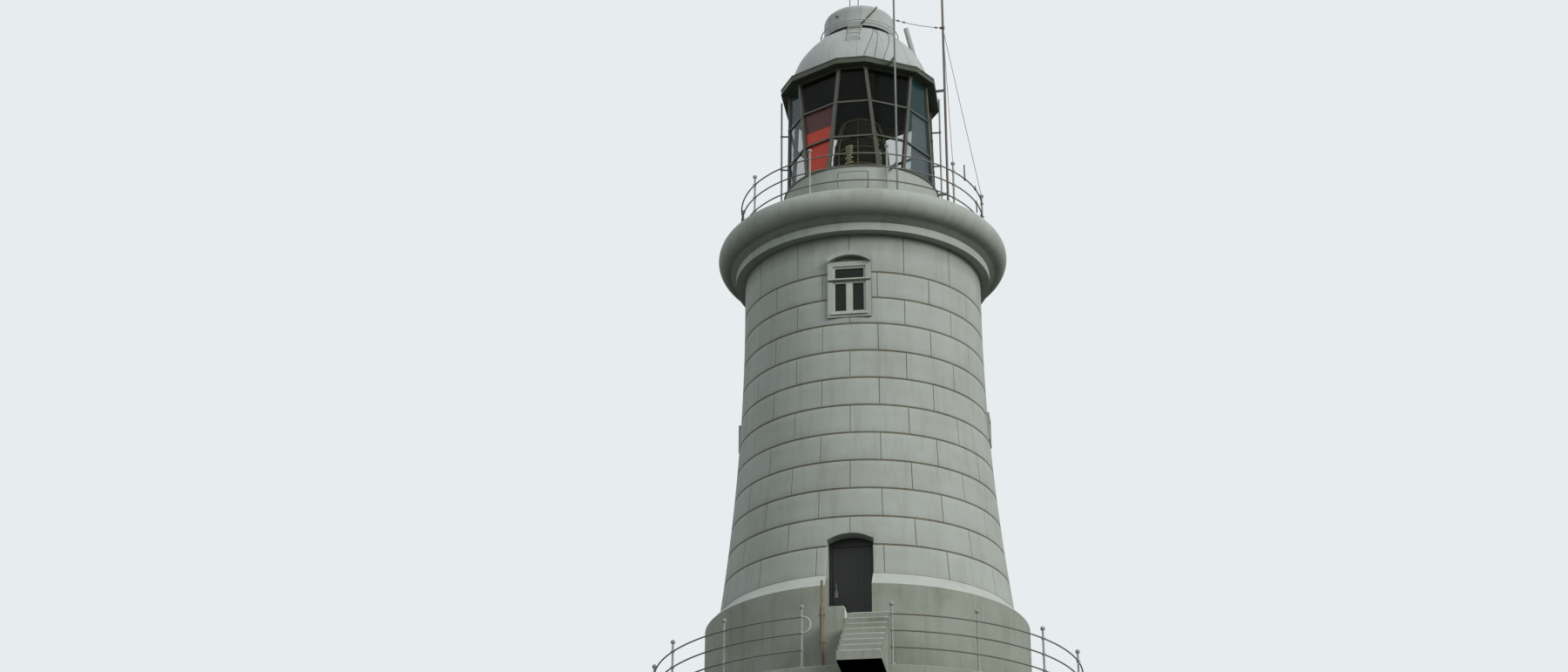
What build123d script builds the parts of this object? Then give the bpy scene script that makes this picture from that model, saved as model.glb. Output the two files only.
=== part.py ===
from build123d import *
import os
from math import asin, cos, degrees, radians, sin, sqrt

# A round lighthouse of rendered concrete, in millimetres. The tower's axis is Z, its foot stands at z = 0,
# and its door looks along -Y. An azimuth is counted in degrees from the door, positive towards +X.

os.makedirs("parts", exist_ok=True)

# Heights of the tower's stages
terrace_top = 280
floor_slab = 120
door_sill_height = 1600
plinth_edge_height = 2440
weathering_rise = 340
course_height = 686
first_joint_height = 3467
neck_foot_height = 10265
shaft_top = 11240
neck_band = 193
cornice_height = 790
upper_storey_floor = 8200
middle_storey_floor = 6150
storey_slab = 200

# Radii of the tower's stages
terrace_radius = 4930
terrace_edge = 18
plinth_radius = 3688
shaft_foot_radius = 3360
shaft_neck_radius = 2838
room_radius = 2100
neck_band_radius = 3080
cove_radius = 3040
cornice_lip_radius = 3216
cornice_bulge = 289
cornice_half = 331

# Doorway, leaf and frame
door_width = 1010
door_spring_height = 3612
door_arch_rise = 138
door_reveal = 300
frame_width = 66
frame_depth = 110
leaf_thickness = 52
leaf_gap = 6
sill_gap = 8
sill_nosing = 60
leaf_setback = 20
hinge_stand = 14
hinge_levels = (240, 970, 1700)
knuckle_radius = 11
knuckle_height = 26
sleeve_height = 70
pin_radius = 6
pin_gap = 0.3
strap_length = 260
strap_thickness = 8
handle_reach = 44
handle_height = 1020
handle_bar = 18
handle_length = 180
handle_inset = 90

# Landing, steps and the block beside the door
landing_reach = 560
landing_left = -430
landing_right = 950
step_rise = 189
steps_past_terrace = 1208
block_left = -510
block_right = 35
block_thickness = 240
block_top_above_sill = 80
block_round = 90
stub_post_radius = 26
stub_post_top = 2250

# Windows
window_sill_height = 9237
window_opening_width = 764
window_opening_height = 1176
window_border = 118
surround_stand = 34
surround_seat = 120
hood_rise = 165
hood_depth = 110
hood_reach = 80
hood_lift = 80
window_frame_bar = 42
window_frame_depth = 70
window_recess = 30
mullion = 138
transom = 124
top_light = 257
pane_thickness = 8
side_window_sill = 7080
side_window_width = 420
side_window_height = 500
side_window_border = 90

# Railings, the same pattern on the terrace and the gallery
rail_heights = (395, 755, 1110)
ball_height = 1325
ball_radius = 52
collar_radius = 40
post_radius = 24
post_foot_radius = 62
post_foot_height = 40
rail_radius = 17
gallery_rail_circle = 2961
gallery_post_count = 10
gallery_first_post = 18
terrace_rail_circle = 4816
terrace_post_count = 16
terrace_first_post = -10.2
rail_return_azimuth = -10.0

# Lantern
parapet_radius = 1900
parapet_wall = 180
parapet_height = 1362
parapet_kerb_radius = 1958
parapet_kerb_height = 110
gallery_door_width = 720
gallery_door_height = 1080
gallery_door_lift = 130
gallery_door_thickness = 60
sill_ring_outer = 1925
sill_ring_inner = 1730
sill_joint = 2
sill_ring_height = 35
glazing_radius = 1797
glazing_height = 2800
bar_count = 12
bar_width = 80
bar_depth = 84
bar_lean = 4.7
ring_width = 44
ring_depth = 64
ring_rises = (885, 1838)
glass_thickness = 10
eave_corner_radius = 2035
eave_height = 150
eave_opening_radius = 1680
screen_gap = 0.5
screen_thickness = 8
grey_screen_start = 0.3

# Lens
pedestal_radius = 300
pedestal_flange_radius = 430
pedestal_flange_height = 60
pedestal_height = 1200
lens_radius = 700
lens_end_radius = 480
lens_height = 2300

# Roof
dome_foot_radius = 1797
dome_top_radius = 817
dome_rise = 1582
dome_bulge = 224
dome_shell = 36
vent_neck_radius = 640
vent_neck_wall = 24
hood_radius = 900
hood_wall = 14
hood_skirt = 480
hood_gap = 25
hood_crown_rise = 110
hood_shoulder = 190
vent_rail_radius = 985
vent_rail_bar = 14
vent_rail_drop = 120
vent_rail_arms = 8
vent_rail_turn = 13.5
rung_count = 5
rung_first = 0.42
rung_pitch = 0.12
rung_width = 330
rung_bar = 12
rung_stand = 60
rung_root = 20
crown_rod_height = 900
crown_rod_radius = 12
crown_rod_spacing = 215
crown_rod_offset = -130
flue_radius = 66
flue_azimuth = 97
flue_foot_reach = 1333
flue_head_reach = 1195
flue_bend_height = 17983
flue_head_height = 18610

# Masts, stays and downpipes
mast_radii = (25, 30)
mast_circles = (2262, 2165)
mast_azimuths = (28.4, 84)
mast_top = 20400
mast_foot_radius = 90
mast_foot_height = 25
clamp_height = 60
clamp_width = 34
clamp_seat = 120
stay_radius = 7
stay_top_height = 18300
downpipe_radius = 24
downpipe_circle = 1984
downpipe_azimuths = (-82, 92)

# Sizes that follow from the ones above
wall_foot = door_sill_height - floor_slab
weathering_top = plinth_edge_height + weathering_rise
door_course_top = first_joint_height + course_height
flare_height = neck_foot_height - weathering_top
flare = shaft_foot_radius - shaft_neck_radius
neck_top = shaft_top + neck_band
gallery_level = neck_top + cornice_height
cornice_middle = gallery_level - cornice_half
glazing_foot = gallery_level + parapet_height + sill_ring_height
glazing_top = glazing_foot + glazing_height
eave_top = glazing_top + eave_height
dome_top = eave_top + dome_rise
hood_foot = dome_top + hood_gap
vent_neck_height = hood_skirt + hood_gap
hood_top_edge = hood_foot + hood_skirt + hood_shoulder
door_half = door_width / 2
bar_step = 360 / bar_count
ring_levels = [glazing_foot + rise for rise in ring_rises]


def direction(azimuth):
    """Level unit vector that points out at an azimuth."""
    return Vector(sin(radians(azimuth)), -cos(radians(azimuth)), 0)


def place(radius, azimuth, height):
    """Point at a radius, an azimuth and a height."""
    return direction(azimuth) * radius + Vector(0, 0, height)


def meridian(azimuth):
    """Upright plane through the axis: its x runs out along the azimuth and its y runs up."""
    out = direction(azimuth)
    return Plane(origin=(0, 0, 0), x_dir=out, z_dir=out.cross(Vector(0, 0, 1)))


def facing(azimuth, radius, height):
    """Plane that faces out at an azimuth: its x runs to the right seen from outside, its y runs up."""
    out = direction(azimuth)
    return Plane(origin=place(radius, azimuth, height), x_dir=Vector(0, 0, 1).cross(out), z_dir=out)


def save(piece, name):
    """Label a finished piece and write it."""
    piece.part.label = name
    export_step(piece.part, f"parts/{name}.step")


def shaft_radius(height):
    """Outer radius of the shaft at a height: a parabola that is upright where it meets the neck."""
    below = max(neck_foot_height - height, 0)
    return shaft_neck_radius + flare * (below / flare_height) ** 2


def add_flare(low, high):
    """Outer line of the shaft between two heights of its flare, in the current line."""
    slope = -2 * flare * (neck_foot_height - low) / flare_height ** 2
    middle = (low + high) / 2
    Bezier((shaft_radius(low), low), (shaft_radius(low) + slope * (middle - low), middle),
           (shaft_radius(high), high))


def arch_outline(width, spring, rise, foot):
    """Doorway outline in the facing plane: straight sides and a segmental head."""
    with BuildSketch() as outline:
        with BuildLine():
            Polyline((-width / 2, spring), (-width / 2, foot), (width / 2, foot), (width / 2, spring))
            ThreePointArc((width / 2, spring), (0, spring + rise), (-width / 2, spring))
        make_face()
    return outline.sketch


def shaft_wall(azimuth, foot, top):
    """Profile of the shaft wall between two heights, on a meridian."""
    flare_top = min(top, neck_foot_height)
    with BuildSketch(meridian(azimuth)) as profile:
        with BuildLine():
            Polyline((room_radius, top), (room_radius, foot), (shaft_radius(foot), foot))
            add_flare(foot, flare_top)
            Polyline(*[(shaft_radius(flare_top), flare_top), (shaft_radius(top), top), (room_radius, top)]
                     [top == flare_top:])
        make_face()
    return profile.sketch


# Terrace: the low round stand that the whole tower and its outer railing stand on
with BuildPart() as terrace:
    with BuildSketch():
        Circle(terrace_radius)
    extrude(amount=terrace_top)
    chamfer(terrace.edges().filter_by(GeomType.CIRCLE).group_by(Axis.Z)[-1], terrace_edge)
save(terrace, "terrace")

# Plinth drum: the solid masonry under the ground floor
with BuildPart() as plinth_base:
    with BuildSketch(Plane.XY.offset(terrace_top)):
        Circle(plinth_radius)
    extrude(amount=wall_foot - terrace_top)
save(plinth_base, "plinth_base")

# Plinth wall: round the ground floor, with its sloped top, open at the door
with BuildPart() as plinth_wall:
    with BuildSketch(meridian(0)) as plinth_profile:
        with BuildLine():
            Polyline((room_radius, wall_foot), (plinth_radius, wall_foot), (plinth_radius, plinth_edge_height),
                     (shaft_foot_radius, weathering_top), (room_radius, weathering_top), close=True)
        make_face()
    revolve(axis=Axis.Z)
    with Locations((0, -plinth_radius, wall_foot)):
        Box(door_width, 2 * plinth_radius, 2 * (weathering_top - wall_foot), mode=Mode.SUBTRACT)
save(plinth_wall, "plinth_wall")

# Floors: the ground floor on the drum, two storey floors, the lamp room floor
with BuildPart() as ground_floor:
    with BuildSketch(Plane.XY.offset(wall_foot)):
        Circle(room_radius)
    extrude(amount=floor_slab)
save(ground_floor, "ground_floor")

with BuildPart() as storey_floors:
    for level in (middle_storey_floor, upper_storey_floor):
        with BuildSketch(Plane.XY.offset(level - storey_slab)):
            Circle(room_radius)
        extrude(amount=storey_slab)
save(storey_floors, "storey_floors")

with BuildPart() as lamp_room_floor:
    with BuildSketch(Plane.XY.offset(gallery_level - storey_slab)):
        Circle(room_radius)
    extrude(amount=storey_slab)
save(lamp_room_floor, "lamp_room_floor")

# Door sill: closes the wall under the doorway and stands out as a nosing
with BuildPart() as door_sill:
    with BuildSketch(Plane.XY.offset(wall_foot)):
        with Locations((0, -(plinth_radius + sill_nosing) / 2)):
            Rectangle(door_width, plinth_radius + sill_nosing)
        Circle(room_radius, mode=Mode.SUBTRACT)
    extrude(amount=floor_slab)
save(door_sill, "door_sill")

# Shaft below the second joint: the quarter over the door is split into two jamb walls and the arch
with BuildPart() as door_quarter:
    revolve(shaft_wall(-45, weathering_top, door_course_top), axis=Axis.Z, revolution_arc=90)

doorway = Plane.XZ * arch_outline(door_width, door_spring_height, door_arch_rise, 0)

for side, name in ((-1, "door_jamb_left"), (1, "door_jamb_right")):
    with BuildPart() as jamb:
        add(door_quarter.part)
        with Locations((-side * (plinth_radius - door_half), 0, weathering_top)):
            Box(2 * plinth_radius, 3 * plinth_radius, 2 * shaft_top, mode=Mode.SUBTRACT)
    save(jamb, name)

with BuildPart() as door_arch:
    add(door_quarter.part)
    with Locations((0, -plinth_radius, weathering_top)):
        Box(door_width, 2 * plinth_radius, 2 * shaft_top, mode=Mode.INTERSECT)
    extrude(doorway, amount=plinth_radius, mode=Mode.SUBTRACT)
save(door_arch, "door_arch")


def hood_outline(width, height, border):
    """Arched hood over a window, about the window's middle."""
    half = width / 2 + border
    foot = height / 2 + border + hood_lift
    crown = foot + hood_rise
    with BuildSketch() as outline:
        with BuildLine():
            ThreePointArc((-half, foot), (0, crown), (half, foot))
            Line((half, foot), (half, foot - hood_depth))
            ThreePointArc((half, foot - hood_depth), (0, crown - hood_depth), (-half, foot - hood_depth))
            Line((-half, foot - hood_depth), (-half, foot))
        make_face()
    return outline.sketch


def window_pocket(width, height, border, hood):
    """Whole outline of a window's raised border and hood, as it is seated in the wall."""
    with BuildSketch() as outline:
        Rectangle(width + 2 * border, height + 2 * border)
        if hood:
            add(hood_outline(width, height, border))
    return outline.sketch


def window_plate(centre, sill, width, height, border, hood):
    """Raised border round a window opening, seated in the wall, with an arched hood over it if asked."""
    front = facing(centre, shaft_radius(sill) + surround_stand, sill + height / 2)
    depth = surround_stand + surround_seat
    with BuildPart() as plate:
        extrude(front * window_pocket(width, height, border, hood), amount=-depth)
        if hood:
            extrude(front * hood_outline(width, height, border), amount=hood_reach)
        with BuildSketch(front) as light:
            Rectangle(width, height)
        extrude(light.sketch, amount=-depth, mode=Mode.SUBTRACT)
    return plate.part


# Window surrounds: four raised borders, the two upper ones with hoods
upper_windows = (0, 180)
side_windows = (90, -90)
window_sets = [(centre, window_sill_height, window_opening_width, window_opening_height, window_border, True)
               for centre in upper_windows]
window_sets += [(centre, side_window_sill, side_window_width, side_window_height, side_window_border, False)
                for centre in side_windows]
with BuildPart() as window_surrounds:
    for window in window_sets:
        add(window_plate(*window))
save(window_surrounds, "window_surrounds")

# Shaft quarters, each centred on a side of the tower, with the window openings cut through
quarters = (("shaft_front", 0, door_course_top), ("shaft_right", 90, weathering_top),
            ("shaft_back", 180, weathering_top), ("shaft_left", -90, weathering_top))
for name, centre, foot in quarters:
    with BuildPart() as quarter:
        revolve(shaft_wall(centre - 45, foot, shaft_top), axis=Axis.Z, revolution_arc=90)
        for side, sill, width, height, border, hood in window_sets:
            if side == centre:
                seat = facing(centre, shaft_radius(sill) - surround_seat, sill + height / 2)
                extrude(seat * window_pocket(width, height, border, hood), amount=plinth_radius, mode=Mode.SUBTRACT)
                with BuildSketch(facing(centre, 0, sill + height / 2)) as hole:
                    Rectangle(width, height)
                extrude(hole.sketch, amount=plinth_radius, mode=Mode.SUBTRACT)
    save(quarter, name)

# Neck moulding and the rounded cornice that carries the gallery
with BuildPart() as neck_moulding:
    with BuildSketch(meridian(0)):
        with BuildLine():
            Polyline((room_radius, shaft_top), (neck_band_radius, shaft_top), (neck_band_radius, neck_top),
                     (room_radius, neck_top), close=True)
        make_face()
    revolve(axis=Axis.Z)
save(neck_moulding, "neck_moulding")

with BuildPart() as gallery_cornice:
    with BuildSketch(meridian(0)):
        with BuildLine():
            Polyline((room_radius, gallery_level), (room_radius, neck_top), (cove_radius, neck_top))
            Line((cove_radius, neck_top), (cornice_lip_radius, cornice_middle - cornice_half))
            EllipticalCenterArc((cornice_lip_radius, cornice_middle), cornice_bulge, cornice_half,
                                start_angle=-90, arc_size=180)
            Line((cornice_lip_radius, gallery_level), (room_radius, gallery_level))
        make_face()
    revolve(axis=Axis.Z)
save(gallery_cornice, "gallery_cornice")

# The leaf's plane and the pins it turns on
door_face = sqrt(shaft_radius(door_spring_height) ** 2 - door_half ** 2) - door_reveal
leaf_front = door_face - leaf_setback
leaf_width = door_width - 2 * frame_width - 2 * leaf_gap
leaf_foot = door_sill_height + sill_gap
leaf_height = door_spring_height - frame_width - leaf_gap - leaf_foot
hinge_x = (leaf_width + leaf_gap) / 2
hinge_y = -leaf_front + leaf_thickness + hinge_stand
hinge_spots = [(hinge_x, hinge_y, door_sill_height + level) for level in hinge_levels]

# Door frame: two posts and a head that fills the arch, with the hinge pins and their knuckles
with BuildPart() as door_frame:
    extrude(Plane.XZ.offset(door_face - frame_depth)
            * arch_outline(door_width, door_spring_height, door_arch_rise, door_sill_height),
            amount=frame_depth)
    with BuildSketch(Plane.XZ.offset(door_face - frame_depth)) as leaf_hole:
        with Locations((0, (door_sill_height + door_spring_height - frame_width) / 2)):
            Rectangle(door_width - 2 * frame_width, door_spring_height - frame_width - door_sill_height)
    extrude(leaf_hole.sketch, amount=frame_depth, mode=Mode.SUBTRACT)
    with Locations(*hinge_spots):
        Cylinder(knuckle_radius + leaf_gap / 4, sleeve_height + 2 * pin_gap, mode=Mode.SUBTRACT)
        Cylinder(pin_radius, sleeve_height + 2 * knuckle_height)
        for side in (-1, 1):
            with Locations((0, 0, side * (sleeve_height / 2 + pin_gap + knuckle_height / 2))):
                Cylinder(knuckle_radius, knuckle_height)
save(door_frame, "door_frame")

# Door leaf: turns inwards on its sleeves, which straps carry on its inner face
with BuildPart() as door_leaf:
    with Locations((0, -leaf_front + leaf_thickness / 2, leaf_foot + leaf_height / 2)):
        Box(leaf_width, leaf_thickness, leaf_height)
    with Locations(*hinge_spots):
        Cylinder(knuckle_radius, sleeve_height)
        with Locations((-strap_length / 2, -hinge_stand + strap_thickness / 2, 0)):
            Box(strap_length, strap_thickness, sleeve_height)
        Cylinder(pin_radius + pin_gap, sleeve_height, mode=Mode.SUBTRACT)
save(door_leaf, "door_leaf")

# Pull handles on both faces of the leaf
with BuildPart() as door_handle:
    handle_x = -leaf_width / 2 + handle_inset
    with Locations((handle_x, 0, door_sill_height + handle_height)):
        for face, out in ((-leaf_front, -1), (-leaf_front + leaf_thickness, 1)):
            for end in (-1, 1):
                with Locations((0, face + out * handle_reach / 2, end * (handle_length - handle_bar) / 2)):
                    Box(handle_bar, handle_reach, handle_bar)
            with Locations((0, face + out * (handle_reach - handle_bar / 2), 0)):
                Box(handle_bar, handle_bar, handle_length)
save(door_handle, "door_handle")

# Landing and steps: one mass of masonry that leans on the plinth and comes down on the terrace and past it
step_count = round(door_sill_height / step_rise)
rise = door_sill_height / step_count
landing_front = plinth_radius + landing_reach
step_tread = (terrace_radius + steps_past_terrace - landing_front) / (step_count - 1)
with BuildPart() as entrance_steps:
    with BuildSketch(Plane.YZ.offset(block_right)) as flight:
        with BuildLine():
            corners = [(-landing_front, 0), (-landing_front, door_sill_height - rise)]
            for step in range(1, step_count):
                y = -landing_front - step * step_tread
                z = door_sill_height - step * rise
                corners += [(y, z), (y, z - rise)]
            Polyline(*corners, close=True)
        make_face()
    extrude(flight.sketch, amount=landing_right - block_right)
    with BuildSketch() as landing:
        with Locations(((landing_left + landing_right) / 2, -landing_front / 2)):
            Rectangle(landing_right - landing_left, landing_front)
    extrude(landing.sketch, amount=door_sill_height)
    with BuildSketch() as tower_foot:
        Circle(plinth_radius)
    extrude(tower_foot.sketch, amount=2 * door_sill_height, mode=Mode.SUBTRACT)
    with BuildSketch() as stand:
        Circle(terrace_radius)
    extrude(stand.sketch, amount=terrace_top, mode=Mode.SUBTRACT)
    with Locations((0, 0, door_sill_height)):
        Box(door_width, 2 * (plinth_radius + sill_nosing), 2 * floor_slab, mode=Mode.SUBTRACT)
save(entrance_steps, "entrance_steps")

# Rounded block on the left of the landing's front, and the stub post in front of it
block_width = block_right - block_left
block_top = door_sill_height + block_top_above_sill
with BuildPart() as landing_block:
    with BuildSketch(Plane.XZ.offset(landing_front)) as block_face:
        with Locations(((block_left + block_right) / 2, (terrace_top + block_top) / 2)):
            Rectangle(block_width, block_top - terrace_top)
        fillet(block_face.vertices().group_by(Axis.Y)[-1].sort_by(Axis.X)[-1], block_round)
    extrude(block_face.sketch, amount=block_thickness)
save(landing_block, "landing_block")

with BuildPart() as stub_post:
    with BuildSketch(Plane.XY.offset(terrace_top)):
        with Locations((block_left + 2 * stub_post_radius, -landing_front - block_thickness - stub_post_radius)):
            Circle(stub_post_radius)
    extrude(amount=stub_post_top - terrace_top)
    fillet(stub_post.edges().filter_by(GeomType.CIRCLE).group_by(Axis.Z)[-1], stub_post_radius / 2)
save(stub_post, "stub_post")

# Window frames: an edge frame each; the upper ones carry a thick transom and a mullion below it
with BuildPart() as window_frames:
    for centre, sill, width, height, border, hood in window_sets:
        front = shaft_radius(sill) + surround_stand - window_recess
        with BuildSketch(facing(centre, front, sill + height / 2)) as lights:
            Rectangle(width, height)
            inner_width = width - 2 * window_frame_bar
            inner_height = height - 2 * window_frame_bar
            Rectangle(inner_width, inner_height, mode=Mode.SUBTRACT)
            if hood:
                bar_y = inner_height / 2 - top_light - transom / 2
                with Locations((0, bar_y)):
                    Rectangle(inner_width, transom)
                with Locations((0, (bar_y - transom / 2 - inner_height / 2) / 2)):
                    Rectangle(mullion, bar_y - transom / 2 + inner_height / 2)
        extrude(lights.sketch, amount=-window_frame_depth)
save(window_frames, "window_frames")

# Window panes: one sheet behind each frame's middle, cut out by the frame's bars
with BuildPart() as window_panes:
    for centre, sill, width, height, border, hood in window_sets:
        front = shaft_radius(sill) + surround_stand - window_recess - window_frame_depth / 2
        with BuildSketch(facing(centre, front, sill + height / 2)) as sheet:
            Rectangle(width - window_frame_bar, height - window_frame_bar)
        extrude(sheet.sketch, amount=-pane_thickness)
    add(window_frames.part, mode=Mode.SUBTRACT)
save(window_panes, "window_panes")


def post_profile(circle, azimuth, level):
    """Half outline of a railing post about its own axis, on a plane through that axis."""
    foot = place(circle, azimuth, level)
    plane = Plane(origin=foot, x_dir=direction(azimuth), z_dir=meridian(azimuth).z_dir)
    with BuildSketch(plane) as profile:
        with Locations((post_foot_radius / 2, post_foot_height / 2)):
            Rectangle(post_foot_radius, post_foot_height)
        with Locations((post_radius / 2, ball_height / 2)):
            Rectangle(post_radius, ball_height)
        for height in (*rail_heights, ball_height):
            radius = ball_radius if height == ball_height else collar_radius
            with Locations((0, height)):
                Circle(radius)
        with Locations((-ball_height / 2, ball_height / 2)):
            Rectangle(ball_height, 2 * ball_height, mode=Mode.SUBTRACT)
    return profile.sketch, Axis(foot, (0, 0, 1))


def add_posts(circle, azimuths, level):
    """Turned posts with a foot, a collar at each rail and a ball on top."""
    for azimuth in azimuths:
        profile, axis = post_profile(circle, azimuth, level)
        revolve(profile, axis=axis)


def add_rail(circle, level, height, start, sweep):
    """Round rail along an arc of a circle."""
    with BuildSketch(meridian(start)) as section:
        with Locations((circle, level + height)):
            Circle(rail_radius)
    revolve(section.sketch, axis=Axis.Z, revolution_arc=sweep)


# Gallery railing
gallery_post_azimuths = [gallery_first_post + 360 / gallery_post_count * i for i in range(gallery_post_count)]
with BuildPart() as gallery_posts:
    add_posts(gallery_rail_circle, gallery_post_azimuths, gallery_level)
save(gallery_posts, "gallery_posts")

with BuildPart() as gallery_rails:
    for height in rail_heights:
        add_rail(gallery_rail_circle, gallery_level, height, 0, 360)
    add(gallery_posts.part, mode=Mode.SUBTRACT)
save(gallery_rails, "gallery_rails")

# Terrace railing: open at the steps, where the upper rail ends in a rounded return on the left
terrace_post_step = 360 / terrace_post_count
terrace_post_azimuths = [terrace_first_post + terrace_post_step * i for i in range(terrace_post_count)]
with BuildPart() as terrace_posts:
    add_posts(terrace_rail_circle, terrace_post_azimuths, terrace_top)
    add(entrance_steps.part, mode=Mode.SUBTRACT)
save(terrace_posts, "terrace_posts")

rail_end = terrace_post_azimuths[1]
top_rail = terrace_top + rail_heights[-1]
return_drop = rail_heights[-1] - rail_heights[-2]
with BuildPart() as terrace_rails:
    for height in rail_heights:
        end = rail_return_azimuth if height > rail_heights[0] else terrace_first_post
        add_rail(terrace_rail_circle, terrace_top, height, rail_end, 360 - rail_end + end)
    return_plane = facing(rail_return_azimuth, terrace_rail_circle, top_rail - return_drop / 2)
    with BuildLine(return_plane) as bend:
        CenterArc((0, 0), return_drop / 2, -90, 180)
    with BuildSketch(Plane(origin=bend.line @ 0, z_dir=bend.line % 0)) as bend_section:
        Circle(rail_radius)
    sweep(bend_section.sketch, path=bend.line)
    add(terrace_posts.part, mode=Mode.SUBTRACT)
    add(entrance_steps.part, mode=Mode.SUBTRACT)
save(terrace_rails, "terrace_rails")

# Lantern parapet: the round wall under the glazing, with a kerb at its foot and the gallery door's opening
door_centre = gallery_level + gallery_door_lift + gallery_door_height / 2
with BuildPart() as lantern_parapet:
    with BuildSketch(meridian(0)):
        with BuildLine():
            top = gallery_level + parapet_height
            Polyline((parapet_radius - parapet_wall, gallery_level), (parapet_kerb_radius, gallery_level),
                     (parapet_kerb_radius, gallery_level + parapet_kerb_height),
                     (parapet_radius, gallery_level + parapet_kerb_height), (parapet_radius, top),
                     (parapet_radius - parapet_wall, top), close=True)
        make_face()
    revolve(axis=Axis.Z)
    with Locations((0, -parapet_radius, door_centre)):
        Box(gallery_door_width, parapet_radius, gallery_door_height, mode=Mode.SUBTRACT)
save(lantern_parapet, "lantern_parapet")

# Gallery door: a curved leaf that closes the opening in the parapet, flush with its outside
with BuildPart() as gallery_door:
    with Locations((0, -parapet_radius, door_centre)):
        Box(gallery_door_width, parapet_radius, gallery_door_height)
    with BuildSketch() as shell:
        Circle(parapet_radius)
        Circle(parapet_radius - gallery_door_thickness, mode=Mode.SUBTRACT)
    extrude(shell.sketch, amount=2 * glazing_top, mode=Mode.INTERSECT)
save(gallery_door, "gallery_door")

# Lantern sill: the metal ring that closes the parapet, in twelve lengths
with BuildPart() as lantern_sill:
    with BuildSketch(Plane.XY.offset(gallery_level + parapet_height)):
        Circle(sill_ring_outer)
        Circle(sill_ring_inner, mode=Mode.SUBTRACT)
    extrude(amount=sill_ring_height)
    with PolarLocations(0, bar_count // 2, start_angle=90, angular_range=180):
        with Locations((0, 0, gallery_level + parapet_height + sill_ring_height / 2)):
            Box(2 * sill_ring_outer, sill_joint, sill_ring_height, mode=Mode.SUBTRACT)
save(lantern_sill, "lantern_sill")


def bar_azimuths(index):
    """Azimuths of a glazing bar's foot and head: neighbours lean opposite ways."""
    middle = bar_step * (index + 0.5)
    lean = bar_lean if index % 2 == 0 else -bar_lean
    return middle + lean, middle - lean


def bar_point(index, height):
    """Point on a glazing bar's middle line at a height."""
    foot_azimuth, head_azimuth = bar_azimuths(index)
    foot = place(glazing_radius, foot_azimuth, glazing_foot)
    head = place(glazing_radius, head_azimuth, glazing_top)
    return foot + (head - foot) * ((height - glazing_foot) / glazing_height)


def add_bar(index):
    """One leaning glazing bar, longer than the glazing so that its ends can be cut level."""
    foot, head = bar_point(index, glazing_foot), bar_point(index, glazing_top)
    along = (head - foot).normalized()
    out = direction(bar_step * (index + 0.5))
    plane = Plane(origin=foot - along * bar_depth, x_dir=out - along * out.dot(along), z_dir=along)
    with BuildSketch(plane) as section:
        Rectangle(bar_depth, bar_width)
    extrude(section.sketch, amount=(head - foot).length + 2 * bar_depth)


def ring_corners(height, reach):
    """Corners of the glazing's outline at a height, each moved out by a reach."""
    corners = [bar_point(index, height) for index in range(bar_count)]
    return [(corner.X * (1 + reach / glazing_radius), corner.Y * (1 + reach / glazing_radius))
            for corner in corners]


def add_glazing_ring(level):
    """Straight-sided ring from bar to bar, standing on a level."""
    with BuildSketch(Plane.XY.offset(level)) as ring:
        for reach, mode in ((ring_depth / 2, Mode.ADD), (-ring_depth / 2, Mode.SUBTRACT)):
            with BuildLine() as edge:
                Polyline(*ring_corners(level + ring_width / 2, reach), close=True)
            make_face(edge.edges(), mode=mode)
    extrude(ring.sketch, amount=ring_width)


def add_sheet(index, low, high, inset, thickness, start=0.0):
    """Flat sheet between a bar and the next one, from one height to another, set in from the bars' middle lines.
    It starts at a share of the way from the first bar to the second."""
    first = [bar_point(index, height) for height in (low, high)]
    second = [bar_point(index + 1, height) for height in (low, high)]
    first = [a + (b - a) * start for a, b in zip(first, second)]
    across = (second[0] - first[0]).normalized()
    normal = across.cross(((first[1] + second[1]) - (first[0] + second[0])).normalized())
    plane = Plane(origin=first[0] - normal * inset, x_dir=across, z_dir=normal)
    with BuildSketch(plane) as sheet:
        with BuildLine():
            spots = [plane.to_local_coords(spot - normal * inset) for spot in (*first, *reversed(second))]
            Polyline(*[(spot.X, spot.Y) for spot in spots], close=True)
        make_face()
    extrude(sheet.sketch, amount=-thickness)


# Lantern frame: the leaning bars, cut level at the sill and under the eave
with BuildPart() as lantern_frame:
    for index in range(bar_count):
        add_bar(index)
    with Locations((0, 0, glazing_foot + glazing_height / 2)):
        Cylinder(2 * glazing_radius, glazing_height, mode=Mode.INTERSECT)
save(lantern_frame, "lantern_frame")

# Lantern rings: straight lengths between the bars at the sill, at two levels and under the eave
with BuildPart() as lantern_rings:
    for level in (glazing_foot, *(level - ring_width / 2 for level in ring_levels), glazing_top - ring_width):
        add_glazing_ring(level)
    add(lantern_frame.part, mode=Mode.SUBTRACT)
save(lantern_rings, "lantern_rings")

# Lantern panes: one flat sheet from bar to bar, cut by the bars and rings into its panes
with BuildPart() as lantern_panes:
    for index in range(bar_count):
        add_sheet(index, glazing_foot + ring_width / 2, glazing_top - ring_width / 2,
                  -glass_thickness / 2, glass_thickness)
    add(lantern_frame.part, mode=Mode.SUBTRACT)
    add(lantern_rings.part, mode=Mode.SUBTRACT)
save(lantern_panes, "lantern_panes")

# Screens behind the panes: a red one left of the door side, a grey one on the right
screen_top = ring_levels[1]
screen_inset = ring_depth / 2 + screen_gap
with BuildPart() as red_screen:
    add_sheet(-2, glazing_foot + ring_width, screen_top, screen_inset, screen_thickness)
    add(lantern_frame.part, mode=Mode.SUBTRACT)
save(red_screen, "red_screen")

with BuildPart() as grey_screen:
    add_sheet(1, glazing_foot + ring_width, screen_top, screen_inset, screen_thickness, grey_screen_start)
    add(lantern_frame.part, mode=Mode.SUBTRACT)
save(grey_screen, "grey_screen")

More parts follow.
